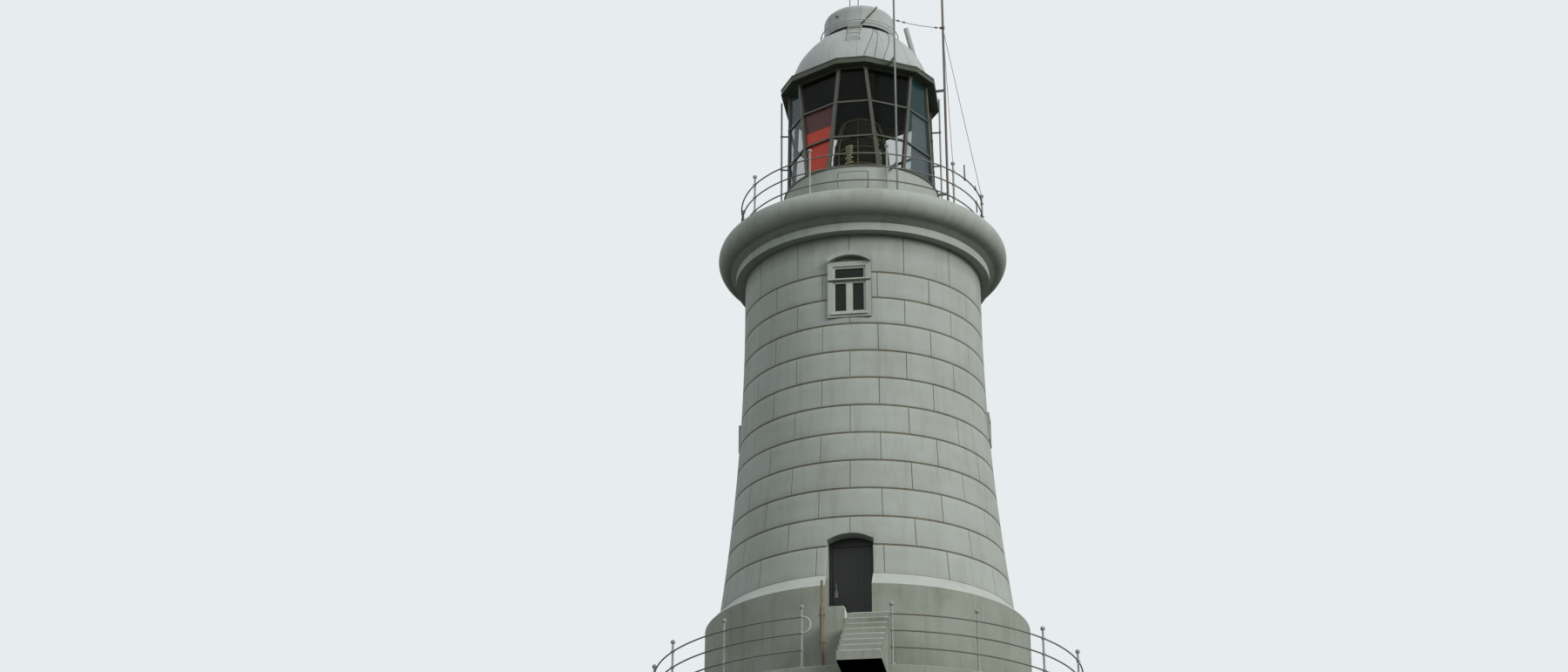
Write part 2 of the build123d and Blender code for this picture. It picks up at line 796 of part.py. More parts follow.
# Lens: a barrel of glass on a turned pedestal
with BuildPart() as lens_pedestal:
    with BuildSketch(meridian(0)):
        with Locations((pedestal_radius / 2, gallery_level + pedestal_height / 2)):
            Rectangle(pedestal_radius, pedestal_height)
        for level in (gallery_level, gallery_level + pedestal_height - pedestal_flange_height):
            with Locations((pedestal_flange_radius / 2, level + pedestal_flange_height / 2)):
                Rectangle(pedestal_flange_radius, pedestal_flange_height)
    revolve(axis=Axis.Z)
save(lens_pedestal, "lens_pedestal")

lens_foot = gallery_level + pedestal_height
with BuildPart() as lens:
    with BuildSketch(meridian(0)):
        with BuildLine():
            Polyline((lens_end_radius, lens_foot), (0, lens_foot), (0, lens_foot + lens_height),
                     (lens_end_radius, lens_foot + lens_height))
            ThreePointArc((lens_end_radius, lens_foot + lens_height), (lens_radius, lens_foot + lens_height / 2),
                          (lens_end_radius, lens_foot))
        make_face()
    revolve(axis=Axis.Z)
save(lens, "lens")

# Eave: a twelve-sided gutter with its corners over the heads of the bars
with BuildPart() as lantern_eave:
    with BuildSketch(Plane.XY.offset(glazing_top)):
        with BuildLine():
            heads = [place(eave_corner_radius, bar_azimuths(index)[1], 0) for index in range(bar_count)]
            Polyline(*[(head.X, head.Y) for head in heads], close=True)
        make_face()
        Circle(eave_opening_radius, mode=Mode.SUBTRACT)
    extrude(amount=eave_height)
save(lantern_eave, "lantern_eave")


def dome_line(inset):
    """Foot, crown side and middle of the dome's line, moved in square to its chord by an inset."""
    chord = Vector(dome_top_radius - dome_foot_radius, dome_rise)
    square = Vector(dome_rise, dome_foot_radius - dome_top_radius).normalized()
    foot = Vector(dome_foot_radius, eave_top) - Vector(inset, 0)
    crown = Vector(dome_top_radius, dome_top) - Vector(inset, 0)
    middle = (foot + crown) / 2 + square * dome_bulge
    return foot, middle, crown


# Dome: a domed metal shell, open at the top under the vent
with BuildPart() as dome:
    with BuildSketch(meridian(0)):
        with BuildLine():
            foot, middle, crown = dome_line(0)
            inner_foot, inner_middle, inner_crown = dome_line(dome_shell)
            neck = (vent_neck_radius - vent_neck_wall, dome_top)
            ThreePointArc(foot, middle, crown)
            Polyline(crown, neck, (neck[0], dome_top - dome_shell), (inner_crown.X, dome_top - dome_shell))
            ThreePointArc((inner_crown.X, dome_top - dome_shell), inner_middle, inner_foot)
            Line(inner_foot, foot)
        make_face()
    revolve(axis=Axis.Z)
save(dome, "dome")

# Vent neck and the hood over it
with BuildPart() as vent_neck:
    with BuildSketch(Plane.XY.offset(dome_top)):
        Circle(vent_neck_radius)
        Circle(vent_neck_radius - vent_neck_wall, mode=Mode.SUBTRACT)
    extrude(amount=vent_neck_height)
save(vent_neck, "vent_neck")

with BuildPart() as vent_hood:
    with BuildSketch(meridian(0)):
        with BuildLine():
            skirt_top = hood_foot + hood_skirt
            shelf = dome_top + vent_neck_height
            crown_edge = hood_radius - hood_shoulder
            crown_sphere = (crown_edge ** 2 + hood_crown_rise ** 2) / (2 * hood_crown_rise)
            crown_top = hood_top_edge + hood_crown_rise
            Polyline((hood_radius, hood_foot), (hood_radius, skirt_top))
            ThreePointArc((hood_radius, skirt_top),
                          (hood_radius - hood_shoulder * (1 - cos(radians(45))),
                           skirt_top + hood_shoulder * sin(radians(45))),
                          (hood_radius - hood_shoulder, hood_top_edge))
            crown_turn = degrees(asin(crown_edge / crown_sphere))
            CenterArc((0, crown_top - crown_sphere), crown_sphere, 90 - crown_turn, crown_turn)
            Polyline((0, crown_top), (0, shelf), (hood_radius - hood_wall, shelf),
                     (hood_radius - hood_wall, hood_foot), (hood_radius, hood_foot))
        make_face()
    revolve(axis=Axis.Z)
save(vent_hood, "vent_hood")

# Ring rail round the hood, on short arms
with BuildPart() as vent_rail:
    rail_level = hood_foot + vent_rail_drop
    with BuildSketch(meridian(0)):
        with Locations((vent_rail_radius, rail_level)):
            Circle(vent_rail_bar)
    revolve(axis=Axis.Z)
    for index in range(vent_rail_arms):
        with BuildSketch(facing(360 / vent_rail_arms * index + vent_rail_turn, 0, rail_level)) as arm:
            Circle(vent_rail_bar / 2)
        extrude(arm.sketch, amount=vent_rail_radius)
    with Locations((0, 0, rail_level)):
        Cylinder(hood_radius, 2 * vent_rail_drop, mode=Mode.SUBTRACT)
save(vent_rail, "vent_rail")

# Crown rods: two slim rods that stand on the hood
with BuildPart() as crown_rods:
    for side in (-1, 1):
        with BuildSketch(Plane.XY.offset(shelf)) as rod:
            with Locations((crown_rod_offset + side * crown_rod_spacing / 2, 0)):
                Circle(crown_rod_radius)
        extrude(rod.sketch, amount=crown_rod_height)
    add(vent_hood.part, mode=Mode.SUBTRACT)
save(crown_rods, "crown_rods")


def dome_point(share):
    """Point of the dome's outer line at a share of the way from its foot to its crown, and the way out there."""
    with BuildLine(mode=Mode.PRIVATE) as line:
        ThreePointArc(*dome_line(0))
    tangent = line.line % share
    return line.line @ share, Vector(tangent.Y, -tangent.X)


# Rungs up the dome on the door side: staples set into the shell
with BuildPart() as dome_rungs:
    for index in range(rung_count):
        point, out = dome_point(rung_first + rung_pitch * index)
        root = point - out * rung_root
        outer = point + out * rung_stand
        half = rung_width / 2
        side_y = [(-half, root), (-half, outer), (half, outer), (half, root)]
        with BuildLine():
            staple = Polyline(*[(x, -spot.X, spot.Y) for x, spot in side_y])
        with BuildSketch(Plane(origin=staple @ 0, z_dir=staple % 0)) as rung:
            Circle(rung_bar)
        sweep(rung.sketch, path=staple, transition=Transition.RIGHT)
    add(dome.part, mode=Mode.SUBTRACT)
save(dome_rungs, "dome_rungs")

# Everything inside the dome's outer face, to trim what stands on it
with BuildPart() as dome_fill:
    with BuildSketch(meridian(0)):
        with BuildLine():
            foot, middle, crown = dome_line(0)
            ThreePointArc(foot, middle, crown)
            Polyline(crown, (0, dome_top), (0, eave_top), foot)
        make_face()
    revolve(axis=Axis.Z)

# Flue pipe on the right of the dome, leaning in towards the vent
with BuildPart() as flue_pipe:
    flue_foot = place(flue_foot_reach, flue_azimuth, flue_bend_height)
    flue_head = place(flue_head_reach, flue_azimuth, flue_head_height)
    flue_run = flue_head - flue_foot
    flue_start = flue_foot - flue_run.normalized() * dome_rise / 2
    with BuildSketch(Plane(origin=flue_start, z_dir=flue_run)) as flue:
        Circle(flue_radius)
    extrude(flue.sketch, amount=flue_run.length + dome_rise / 2)
    add(dome_fill.part, mode=Mode.SUBTRACT)
save(flue_pipe, "flue_pipe")

# Masts: the front one and the one at the side, each with a foot plate and clamps to the eave and the parapet
mast_spots = list(zip(mast_circles, mast_azimuths, mast_radii))
with BuildPart() as masts:
    for circle, azimuth, mast_radius in mast_spots:
        spot = place(circle, azimuth, 0)
        for radius, low, high in ((mast_foot_radius, gallery_level, gallery_level + mast_foot_height),
                                  (mast_radius, gallery_level, mast_top)):
            with BuildSketch(Plane.XY.offset(low)) as section:
                with Locations((spot.X, spot.Y)):
                    Circle(radius)
            extrude(section.sketch, amount=high - low)
        for level in (glazing_top + (eave_height - clamp_height) / 2, gallery_level + parapet_height - clamp_height):
            inner = eave_corner_radius - clamp_seat if level > glazing_foot else parapet_radius - clamp_seat
            with BuildSketch(facing(azimuth, inner, level + clamp_height / 2)) as arm:
                Rectangle(clamp_width, clamp_height)
            extrude(arm.sketch, amount=circle - inner)
    add(lantern_eave.part, mode=Mode.SUBTRACT)
    add(lantern_parapet.part, mode=Mode.SUBTRACT)
save(masts, "masts")

# Stays: two taut rods from the side mast down to the gallery railing's posts beside it
side_circle, side_azimuth, _ = mast_spots[1]
stay_posts = sorted(gallery_post_azimuths, key=lambda azimuth: abs(azimuth - side_azimuth))[:2]
with BuildPart() as mast_stays:
    for azimuth in stay_posts:
        high = place(side_circle, side_azimuth, stay_top_height)
        low = place(gallery_rail_circle, azimuth, gallery_level + ball_height)
        with BuildSketch(Plane(origin=low, z_dir=high - low)) as section:
            Circle(stay_radius)
        extrude(section.sketch, amount=(high - low).length)
    add(masts.part, mode=Mode.SUBTRACT)
    add(gallery_posts.part, mode=Mode.SUBTRACT)
    add(gallery_rails.part, mode=Mode.SUBTRACT)
save(mast_stays, "mast_stays")

# Downpipes from the eave to the gallery, with straps to the parapet
with BuildPart() as downpipes:
    for azimuth in downpipe_azimuths:
        spot = place(downpipe_circle, azimuth, 0)
        with BuildSketch(Plane.XY.offset(gallery_level)) as section:
            with Locations((spot.X, spot.Y)):
                Circle(downpipe_radius)
        extrude(section.sketch, amount=glazing_top - gallery_level)
        with BuildSketch(facing(azimuth, parapet_radius, gallery_level + parapet_height / 2)) as strap:
            Rectangle(downpipe_radius, downpipe_radius)
        extrude(strap.sketch, amount=downpipe_circle - parapet_radius)
    add(lantern_parapet.part, mode=Mode.SUBTRACT)
save(downpipes, "downpipes")
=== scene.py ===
import math

import bpy
import numpy as np
from mathutils import Matrix, Vector


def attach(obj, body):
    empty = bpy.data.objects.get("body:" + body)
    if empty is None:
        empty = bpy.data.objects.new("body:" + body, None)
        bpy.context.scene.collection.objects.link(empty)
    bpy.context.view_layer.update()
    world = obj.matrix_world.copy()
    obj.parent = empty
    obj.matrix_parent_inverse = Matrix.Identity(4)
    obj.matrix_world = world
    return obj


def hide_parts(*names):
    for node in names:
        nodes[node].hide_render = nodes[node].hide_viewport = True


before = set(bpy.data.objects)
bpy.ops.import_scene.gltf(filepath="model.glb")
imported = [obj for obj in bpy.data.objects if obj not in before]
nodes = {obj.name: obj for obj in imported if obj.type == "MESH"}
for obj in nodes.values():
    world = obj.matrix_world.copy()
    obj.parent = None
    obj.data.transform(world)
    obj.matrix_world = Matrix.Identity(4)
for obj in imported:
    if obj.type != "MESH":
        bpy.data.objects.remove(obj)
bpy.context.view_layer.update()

UP = (0, 0, 1)

# Sizes shared with the construction, in metres
WEATHER_TOP = 2.780
FOOT_R, NECK_R, NECK_Z, SHAFT_TOP = 3.360, 2.838, 10.265, 11.240
GALLERY = 12.223
GLASS_FOOT, GLASS_TOP, EAVE_TOP, DOME_TOP = 13.620, 16.420, 16.570, 18.152
JOINTS = [2.780, 3.467, 4.153, 4.839, 5.525, 6.211, 6.897, 7.583, 8.269, 8.955, 9.610, 10.265]
BLOCKS_ROUND = 14
RAIL_CIRCLE, TERRACE_CIRCLE, TERRACE_TOP = 2.961, 4.816, 0.280
RAIL_HEIGHTS = (0.395, 0.755, 1.110)
PARAPET_R = 1.900
SIDES, BAR_R, BAR_LEAN, RING_RISES = 12, 1.797, 4.7, (0.885, 1.838)
SIDE_STEP = 360 / SIDES
LENS_FOOT, LENS_TALL, LENS_END_R, LENS_BULGE = GALLERY + 1.2, 2.3, 0.472, 0.220
DOME_FOOT_R, DOME_CROWN_R, DOME_BULGE = 1.797, 0.817, 0.224
SIDE_MAST_CIRCLE, SIDE_MAST_AZIMUTH = 2.165, 84
DOWNPIPE_CIRCLE, DOWNPIPE_AZIMUTHS = 1.984, (-82, 92)


def shaft_r(z):
    """Outer radius of the shaft: R(z) = 2.838 + 0.522 ((10.265 - z) / 7.485)^2 below the neck."""
    below = np.maximum(NECK_Z - z, 0.0)
    return NECK_R + (FOOT_R - NECK_R) * (below / (NECK_Z - WEATHER_TOP)) ** 2


def new_object(name, verts, faces, material, smooth=True):
    """A mesh object from an array of points and a list of faces."""
    mesh = bpy.data.meshes.new(name)
    mesh.from_pydata(np.asarray(verts, float).reshape(-1, 3).tolist(), [], [tuple(map(int, f)) for f in faces])
    mesh.update()
    obj = bpy.data.objects.new(name, mesh)
    bpy.context.scene.collection.objects.link(obj)
    mesh.materials.append(material)
    if smooth:
        mesh.polygons.foreach_set("use_smooth", np.ones(len(mesh.polygons), bool))
    return obj


def grid_faces(rows, cols, close_rows=False, close_cols=False, start=0):
    """Faces of a rows x cols grid of points, numbered row by row, counter-clockwise when rows go up and cols round."""
    i = np.arange(rows if close_rows else rows - 1)
    j = np.arange(cols if close_cols else cols - 1)
    i, j = np.meshgrid(i, j, indexing="ij")
    a = i * cols + j
    b = i * cols + (j + 1) % cols
    c = ((i + 1) % rows) * cols + (j + 1) % cols
    d = ((i + 1) % rows) * cols + j
    return np.stack([a, b, c, d], -1).reshape(-1, 4) + start


# Materials

# Colour sockets of a Mix node whose data type is RGBA
MIX_A, MIX_B, MIX_OUT = 6, 7, 2


def node_with(tree_nodes, kind, **values):
    """Adds a shader node and sets its inputs. An underscore in a name stands for a space."""
    node = tree_nodes.new(kind)
    for name, value in values.items():
        node.inputs[name.replace("_", " ")].default_value = value
    return node


def new_material(name):
    """A material with its nodes, their link function and its Principled shader."""
    mat = bpy.data.materials.new(name)
    mat.use_nodes = True
    n = mat.node_tree.nodes
    return mat, n, mat.node_tree.links.new, n["Principled BSDF"]


def set_inputs(node, values):
    """Sets the inputs of a node from pairs of a name and a value."""
    for name, value in values:
        node.inputs[name].default_value = value


def group_input(group, name, kind, value=None):
    """Adds an input to a node group and sets what it starts with."""
    item = group.interface.new_socket(name=name, in_out="INPUT", socket_type=kind)
    if value is not None:
        item.default_value = value
    return item


def weather_group():
    """Shared effect: colour with broad patches, fine grain and streaks that run down, for outdoor surfaces."""
    group = bpy.data.node_groups.new("Weather", "ShaderNodeTree")
    group_input(group, "Colour", "NodeSocketColor", (0.6, 0.6, 0.6, 1))
    group_input(group, "Dirt", "NodeSocketColor", (0.2, 0.2, 0.16, 1))
    group_input(group, "Patches", "NodeSocketFloat", 0.15)
    group_input(group, "Streaks", "NodeSocketFloat", 0.2)
    group.interface.new_socket(name="Colour", in_out="OUTPUT", socket_type="NodeSocketColor")
    group.interface.new_socket(name="Height", in_out="OUTPUT", socket_type="NodeSocketFloat")
    n, link = group.nodes, group.links.new
    gin, gout = n.new("NodeGroupInput"), n.new("NodeGroupOutput")
    coord = n.new("ShaderNodeTexCoord")
    broad = node_with(n, "ShaderNodeTexNoise", Scale=0.8, Detail=6, Roughness=0.62)
    link(coord.outputs["Object"], broad.inputs["Vector"])
    fine = node_with(n, "ShaderNodeTexNoise", Scale=38, Detail=4)
    link(coord.outputs["Object"], fine.inputs["Vector"])
    squash = node_with(n, "ShaderNodeMapping", Scale=(1, 1, 0.09))
    link(coord.outputs["Object"], squash.inputs["Vector"])
    streak = node_with(n, "ShaderNodeTexNoise", Scale=5.5, Detail=7, Roughness=0.6)
    link(squash.outputs["Vector"], streak.inputs["Vector"])
    steep = node_with(n, "ShaderNodeMapRange", From_Min=0.50, From_Max=0.80)
    link(streak.outputs["Fac"], steep.inputs["Value"])
    patch = node_with(n, "ShaderNodeMapRange", From_Min=0.42, From_Max=0.72)
    link(broad.outputs["Fac"], patch.inputs["Value"])
    streak_amount = n.new("ShaderNodeMath")
    streak_amount.operation = "MULTIPLY"
    link(steep.outputs["Result"], streak_amount.inputs[0])
    link(gin.outputs["Streaks"], streak_amount.inputs[1])
    patch_amount = n.new("ShaderNodeMath")
    patch_amount.operation = "MULTIPLY"
    link(patch.outputs["Result"], patch_amount.inputs[0])
    link(gin.outputs["Patches"], patch_amount.inputs[1])
    both = n.new("ShaderNodeMath")
    both.operation = "ADD"
    both.use_clamp = True
    link(streak_amount.outputs[0], both.inputs[0])
    link(patch_amount.outputs[0], both.inputs[1])
    mix = n.new("ShaderNodeMix")
    mix.data_type = "RGBA"
    link(both.outputs[0], mix.inputs[0])
    link(gin.outputs["Colour"], mix.inputs[MIX_A])
    link(gin.outputs["Dirt"], mix.inputs[MIX_B])
    grain = node_with(n, "ShaderNodeMapRange", To_Min=0.93, To_Max=1.07)
    link(fine.outputs["Fac"], grain.inputs["Value"])
    scale = n.new("ShaderNodeVectorMath")
    scale.operation = "SCALE"
    link(mix.outputs[MIX_OUT], scale.inputs[0])
    link(grain.outputs["Result"], scale.inputs["Scale"])
    link(scale.outputs["Vector"], gout.inputs["Colour"])
    link(fine.outputs["Fac"], gout.inputs["Height"])
    return group


WEATHER = weather_group()


def surface(name, colour, dirt=(0.2, 0.2, 0.16), patches=0.15, streaks=0.2, rough=0.85, metallic=0.0, bump=0.0,
            shade=None):
    """An outdoor painted or rendered surface. A shade is painted shade, a darkening from one height to another:
    (height where it starts, height where it is full, amount).
    """
    mat, n, link, shader = new_material(name)
    set_inputs(shader, (("Roughness", rough), ("Metallic", metallic), ("Base Color", (*colour, 1))))
    weather = n.new("ShaderNodeGroup")
    weather.node_tree = WEATHER
    set_inputs(weather, (("Colour", (*colour, 1)), ("Dirt", (*dirt, 1)), ("Patches", patches), ("Streaks", streaks)))
    coloured = weather.outputs["Colour"]
    if shade:
        start, full, amount = shade
        coord, axes, fade = n.new("ShaderNodeTexCoord"), n.new("ShaderNodeSeparateXYZ"), n.new("ShaderNodeMapRange")
        link(coord.outputs["Object"], axes.inputs[0])
        link(axes.outputs["Z"], fade.inputs["Value"])
        set_inputs(fade, (("From Min", start), ("From Max", full), ("To Max", amount)))
        # Painted shade: the colour darkens towards a dark grey-green between the shade's two heights
        painted_shade = n.new("ShaderNodeMix")
        painted_shade.data_type = "RGBA"
        painted_shade.inputs[MIX_B].default_value = (0.085, 0.09, 0.06, 1)
        link(fade.outputs["Result"], painted_shade.inputs[0])
        link(coloured, painted_shade.inputs[MIX_A])
        coloured = painted_shade.outputs[MIX_OUT]
    link(coloured, shader.inputs["Base Color"])
    if bump:
        node = node_with(n, "ShaderNodeBump", Strength=bump, Distance=0.01)
        link(weather.outputs["Height"], node.inputs["Height"])
        link(node.outputs["Normal"], shader.inputs["Normal"])
    return mat


def clear(name, colour, rough=0.03, alpha=0.3, ior=1.5):
    """Tinted glass. The lower its alpha, the more of what stands behind it shows."""
    mat, _, _, shader = new_material(name)
    set_inputs(shader, (("Base Color", (*colour, 1)), ("Roughness", rough), ("Alpha", alpha), ("IOR", ior)))
    return mat


def sheet(name, lit_colour, shaded_colour, change, alpha):
    """A coloured sheet with one colour below a height in metres and another above it: the lower is painted light from
    the sky behind it, the upper painted shade.
    """
    mat, n, link, shader = new_material(name)
    set_inputs(shader, (("Roughness", 0.25), ("Alpha", alpha)))
    coord, axes = n.new("ShaderNodeTexCoord"), n.new("ShaderNodeSeparateXYZ")
    link(coord.outputs["Object"], axes.inputs[0])
    step = node_with(n, "ShaderNodeMapRange", From_Min=change - 0.02, From_Max=change + 0.02)
    link(axes.outputs["Z"], step.inputs["Value"])
    mix = n.new("ShaderNodeMix")
    mix.data_type = "RGBA"
    mix.inputs[MIX_A].default_value = (*lit_colour, 1)
    mix.inputs[MIX_B].default_value = (*shaded_colour, 1)
    link(step.outputs["Result"], mix.inputs[0])
    link(mix.outputs[MIX_OUT], shader.inputs["Base Color"])
    return mat


RENDER = surface("Render", (0.365, 0.395, 0.365), dirt=(0.22, 0.235, 0.18), patches=0.35, streaks=0.4, bump=0.25)
# Painted shade under the neck moulding, with grime: the blocks darken towards the top of the shaft
BLOCKS = surface("Block render", (0.365, 0.395, 0.365), dirt=(0.22, 0.235, 0.18), patches=0.35, streaks=0.4,
                 bump=0.25, shade=(10.75, 11.22, 0.55))
# Painted shade: the cornice darkens towards its underside
CORNICE = surface("Cornice render", (0.365, 0.395, 0.365), dirt=(0.20, 0.21, 0.15), patches=0.45, streaks=0.5,
                  bump=0.25, shade=(11.95, 11.35, 0.40))
GROOVE = surface("Groove", (0.15, 0.14, 0.10), dirt=(0.08, 0.065, 0.04), patches=0.6, streaks=0.3, bump=0.3)
PLINTH = surface("Plinth render", (0.28, 0.30, 0.26), dirt=(0.15, 0.16, 0.11), patches=0.5, streaks=0.5, bump=0.35)
FLOOR = surface("Floor concrete", (0.26, 0.26, 0.245), rough=0.95)
POST = surface("Post paint", (0.31, 0.33, 0.32), dirt=(0.17, 0.13, 0.08), patches=0.5, streaks=0.2, rough=0.45)
RAIL = surface("Rail paint", (0.17, 0.165, 0.15), dirt=(0.10, 0.07, 0.045), patches=0.5, streaks=0.1, rough=0.5)
MAST = surface("Mast paint", (0.20, 0.235, 0.225), dirt=(0.10, 0.09, 0.06), patches=0.4, streaks=0.3, rough=0.5)
SIDE_MAST = surface("Side mast", (0.17, 0.15, 0.13), dirt=(0.09, 0.06, 0.04), patches=0.5, streaks=0.3, rough=0.5)
WHITE = surface("White paint", (0.44, 0.46, 0.44), dirt=(0.24, 0.20, 0.12), patches=0.3, streaks=0.2, rough=0.45)
RUST = surface("Rusty post", (0.27, 0.19, 0.12), dirt=(0.12, 0.10, 0.05), patches=0.7, streaks=0.7, rough=0.8)
DARK = surface("Dark paint", (0.055, 0.065, 0.045), dirt=(0.11, 0.10, 0.06), patches=0.4, streaks=0.3, rough=0.5)
BARS = surface("Bar paint", (0.078, 0.080, 0.067), dirt=(0.08, 0.07, 0.045), patches=0.4, streaks=0.4, rough=0.45)
DOME = surface("Dome paint", (0.40, 0.43, 0.42), dirt=(0.24, 0.245, 0.20), patches=0.4, streaks=0.4, rough=0.55)
JOINERY = surface("Door paint", (0.013, 0.014, 0.013), dirt=(0.03, 0.028, 0.02), patches=0.4, streaks=0.2, rough=0.5)
SASH = surface("Window paint", (0.42, 0.45, 0.41), dirt=(0.22, 0.20, 0.13), patches=0.3, streaks=0.3, rough=0.5)
STEEL = surface("Weathered steel", (0.22, 0.22, 0.21), dirt=(0.12, 0.08, 0.05), patches=0.5, rough=0.5, metallic=0.8)
PALE_STEEL = surface("Pale steel", (0.42, 0.43, 0.41), dirt=(0.2, 0.16, 0.1), patches=0.4, rough=0.5)
GLASS = clear("Glass", (0.007, 0.009, 0.007), alpha=0.14, ior=1.5)
TEAL = clear("Side glass", (0.03, 0.085, 0.09), alpha=0.30, ior=1.45)
PANE = clear("Window glass", (0.007, 0.008, 0.007), alpha=0.8, ior=1.4)
# The screens' lower colours are painted backlight from the sky, their upper colours painted shade under the dome
RED = sheet("Red sheet", (1.0, 0.060, 0.006), (0.13, 0.010, 0.005), 14.88, 0.96)
GREY = sheet("Grey sheet", (0.20, 0.185, 0.21), (0.13, 0.12, 0.135), 15.45, 0.92)
# Painted shade: the lens is nearly opaque dark glass, for the dark inside of the lantern
LENS = clear("Lens glass", (0.020, 0.023, 0.014), rough=0.12, alpha=0.96, ior=1.5)
# Painted highlight: pale yellow-green glints on the lens
GLINT = surface("Lens glint", (0.90, 0.93, 0.50), dirt=(0.34, 0.36, 0.14), patches=0.4, rough=0.12)

LOOKS = [
    (RENDER, "door_arch door_jamb_left door_jamb_right shaft_back shaft_front shaft_left shaft_right "
             "neck_moulding window_surrounds lantern_parapet gallery_door"),
    (CORNICE, "gallery_cornice"),
    (PLINTH, "plinth_base plinth_wall entrance_steps landing_block door_sill terrace"),
    (FLOOR, "ground_floor storey_floors lamp_room_floor"),
    (WHITE, "downpipes vent_neck flue_pipe vent_rail"),
    (POST, "gallery_posts terrace_posts"),
    (RAIL, "gallery_rails terrace_rails"),
    (MAST, "masts"),
    (RUST, "stub_post"),
    (DARK, "lantern_eave lantern_sill"),
    (BARS, "lantern_frame lantern_rings lens_pedestal"),
    (DOME, "dome vent_hood"),
    (JOINERY, "door_frame door_leaf"),
    (SASH, "window_frames"),
    (GLASS, "lantern_panes"),
    (PANE, "window_panes"),
    (RED, "red_screen"),
    (GREY, "grey_screen"),
    (LENS, "lens"),
    (STEEL, "crown_rods mast_stays door_handle"),
    (PALE_STEEL, "dome_rungs"),
]
for look, names in LOOKS:
    for name in names.split():
        nodes[name].data.materials.clear()
        nodes[name].data.materials.append(look)


def second_look(name, material, chosen):
    """Gives a second material to the faces of a CAD piece that a test picks."""
    mesh = nodes[name].data
    mesh.materials.append(material)
    for face in mesh.polygons:
        face.material_index = int(chosen(face))


def azimuth_of(point):
    """Azimuth of a point in degrees from the door, positive towards +X."""
    return math.degrees(math.atan2(point.x, -point.y))


def on_wall_face(face):
    """Whether a face lies on the shaft's outside, where it shows in the joints between the blocks."""
    x, y, z = face.center
    r = math.hypot(x, y)
    outwards = (face.normal.x * x + face.normal.y * y) / r > 0.9
    return outwards and r > shaft_r(z) - 0.05


def pane_azimuth(face):
    """Azimuth from 0 to 180 degrees that a pane looks to, the same for its inner and outer face."""
    sign = math.copysign(1, face.normal.x * face.center.x + face.normal.y * face.center.y)
    return abs(math.degrees(math.atan2(sign * face.normal.x, -sign * face.normal.y)))


BAND = surface("Weathering band", (0.44, 0.47, 0.44), dirt=(0.30, 0.31, 0.25), patches=0.3, streaks=0.4, bump=0.25)
BAND_INNER_R = 3.0
WHITE_RAIL_FROM, WHITE_RAIL_TO = -10.4, -5
TEAL_FROM, TEAL_TO = 50, 118
SIDE_MAST_X = 1.6

for name in "door_arch door_jamb_left door_jamb_right shaft_back shaft_front shaft_left shaft_right".split():
    second_look(name, GROOVE, on_wall_face)
second_look("plinth_wall", BAND, lambda face: face.normal.z > 0.25
            and math.hypot(face.center.x, face.center.y) > BAND_INNER_R)
second_look("terrace_rails", WHITE, lambda face: WHITE_RAIL_FROM < azimuth_of(face.center) < WHITE_RAIL_TO
            and face.center.y < 0)
second_look("lantern_panes", TEAL, lambda face: TEAL_FROM < pane_azimuth(face) < TEAL_TO)
second_look("masts", SIDE_MAST, lambda face: face.center.x > SIDE_MAST_X)

# Wall blocks

# Half a course joint, the width of a block's rim, a block's height and a joint's depth
GAP, EDGE, PROUD, DIP = 0.017, 0.016, 0.012, -0.004
# Shares of the rim's width where its outline bends, and how high it is at the middle one
RIM, RIM_SHARE = (0, 0.35, 1), 0.72
# Points across the thin upright joint between two blocks, and half its width
THIN_JOINT, THIN_HALF = (-0.012, -0.0035, 0.0035, 0.012), 0.006
SURROUND_HALF = 0.499
# Openings: azimuth, foot, spring, half width and the arch's rise
HOLES = [(0, 0.0, 3.612, 0.505, 0.138), (0, 9.122, 10.608, SURROUND_HALF, 0.165),
         (180, 9.122, 10.608, SURROUND_HALF, 0.165),
         (90, 6.992, 7.668, 0.298, 0), (-90, 6.992, 7.668, 0.298, 0)]


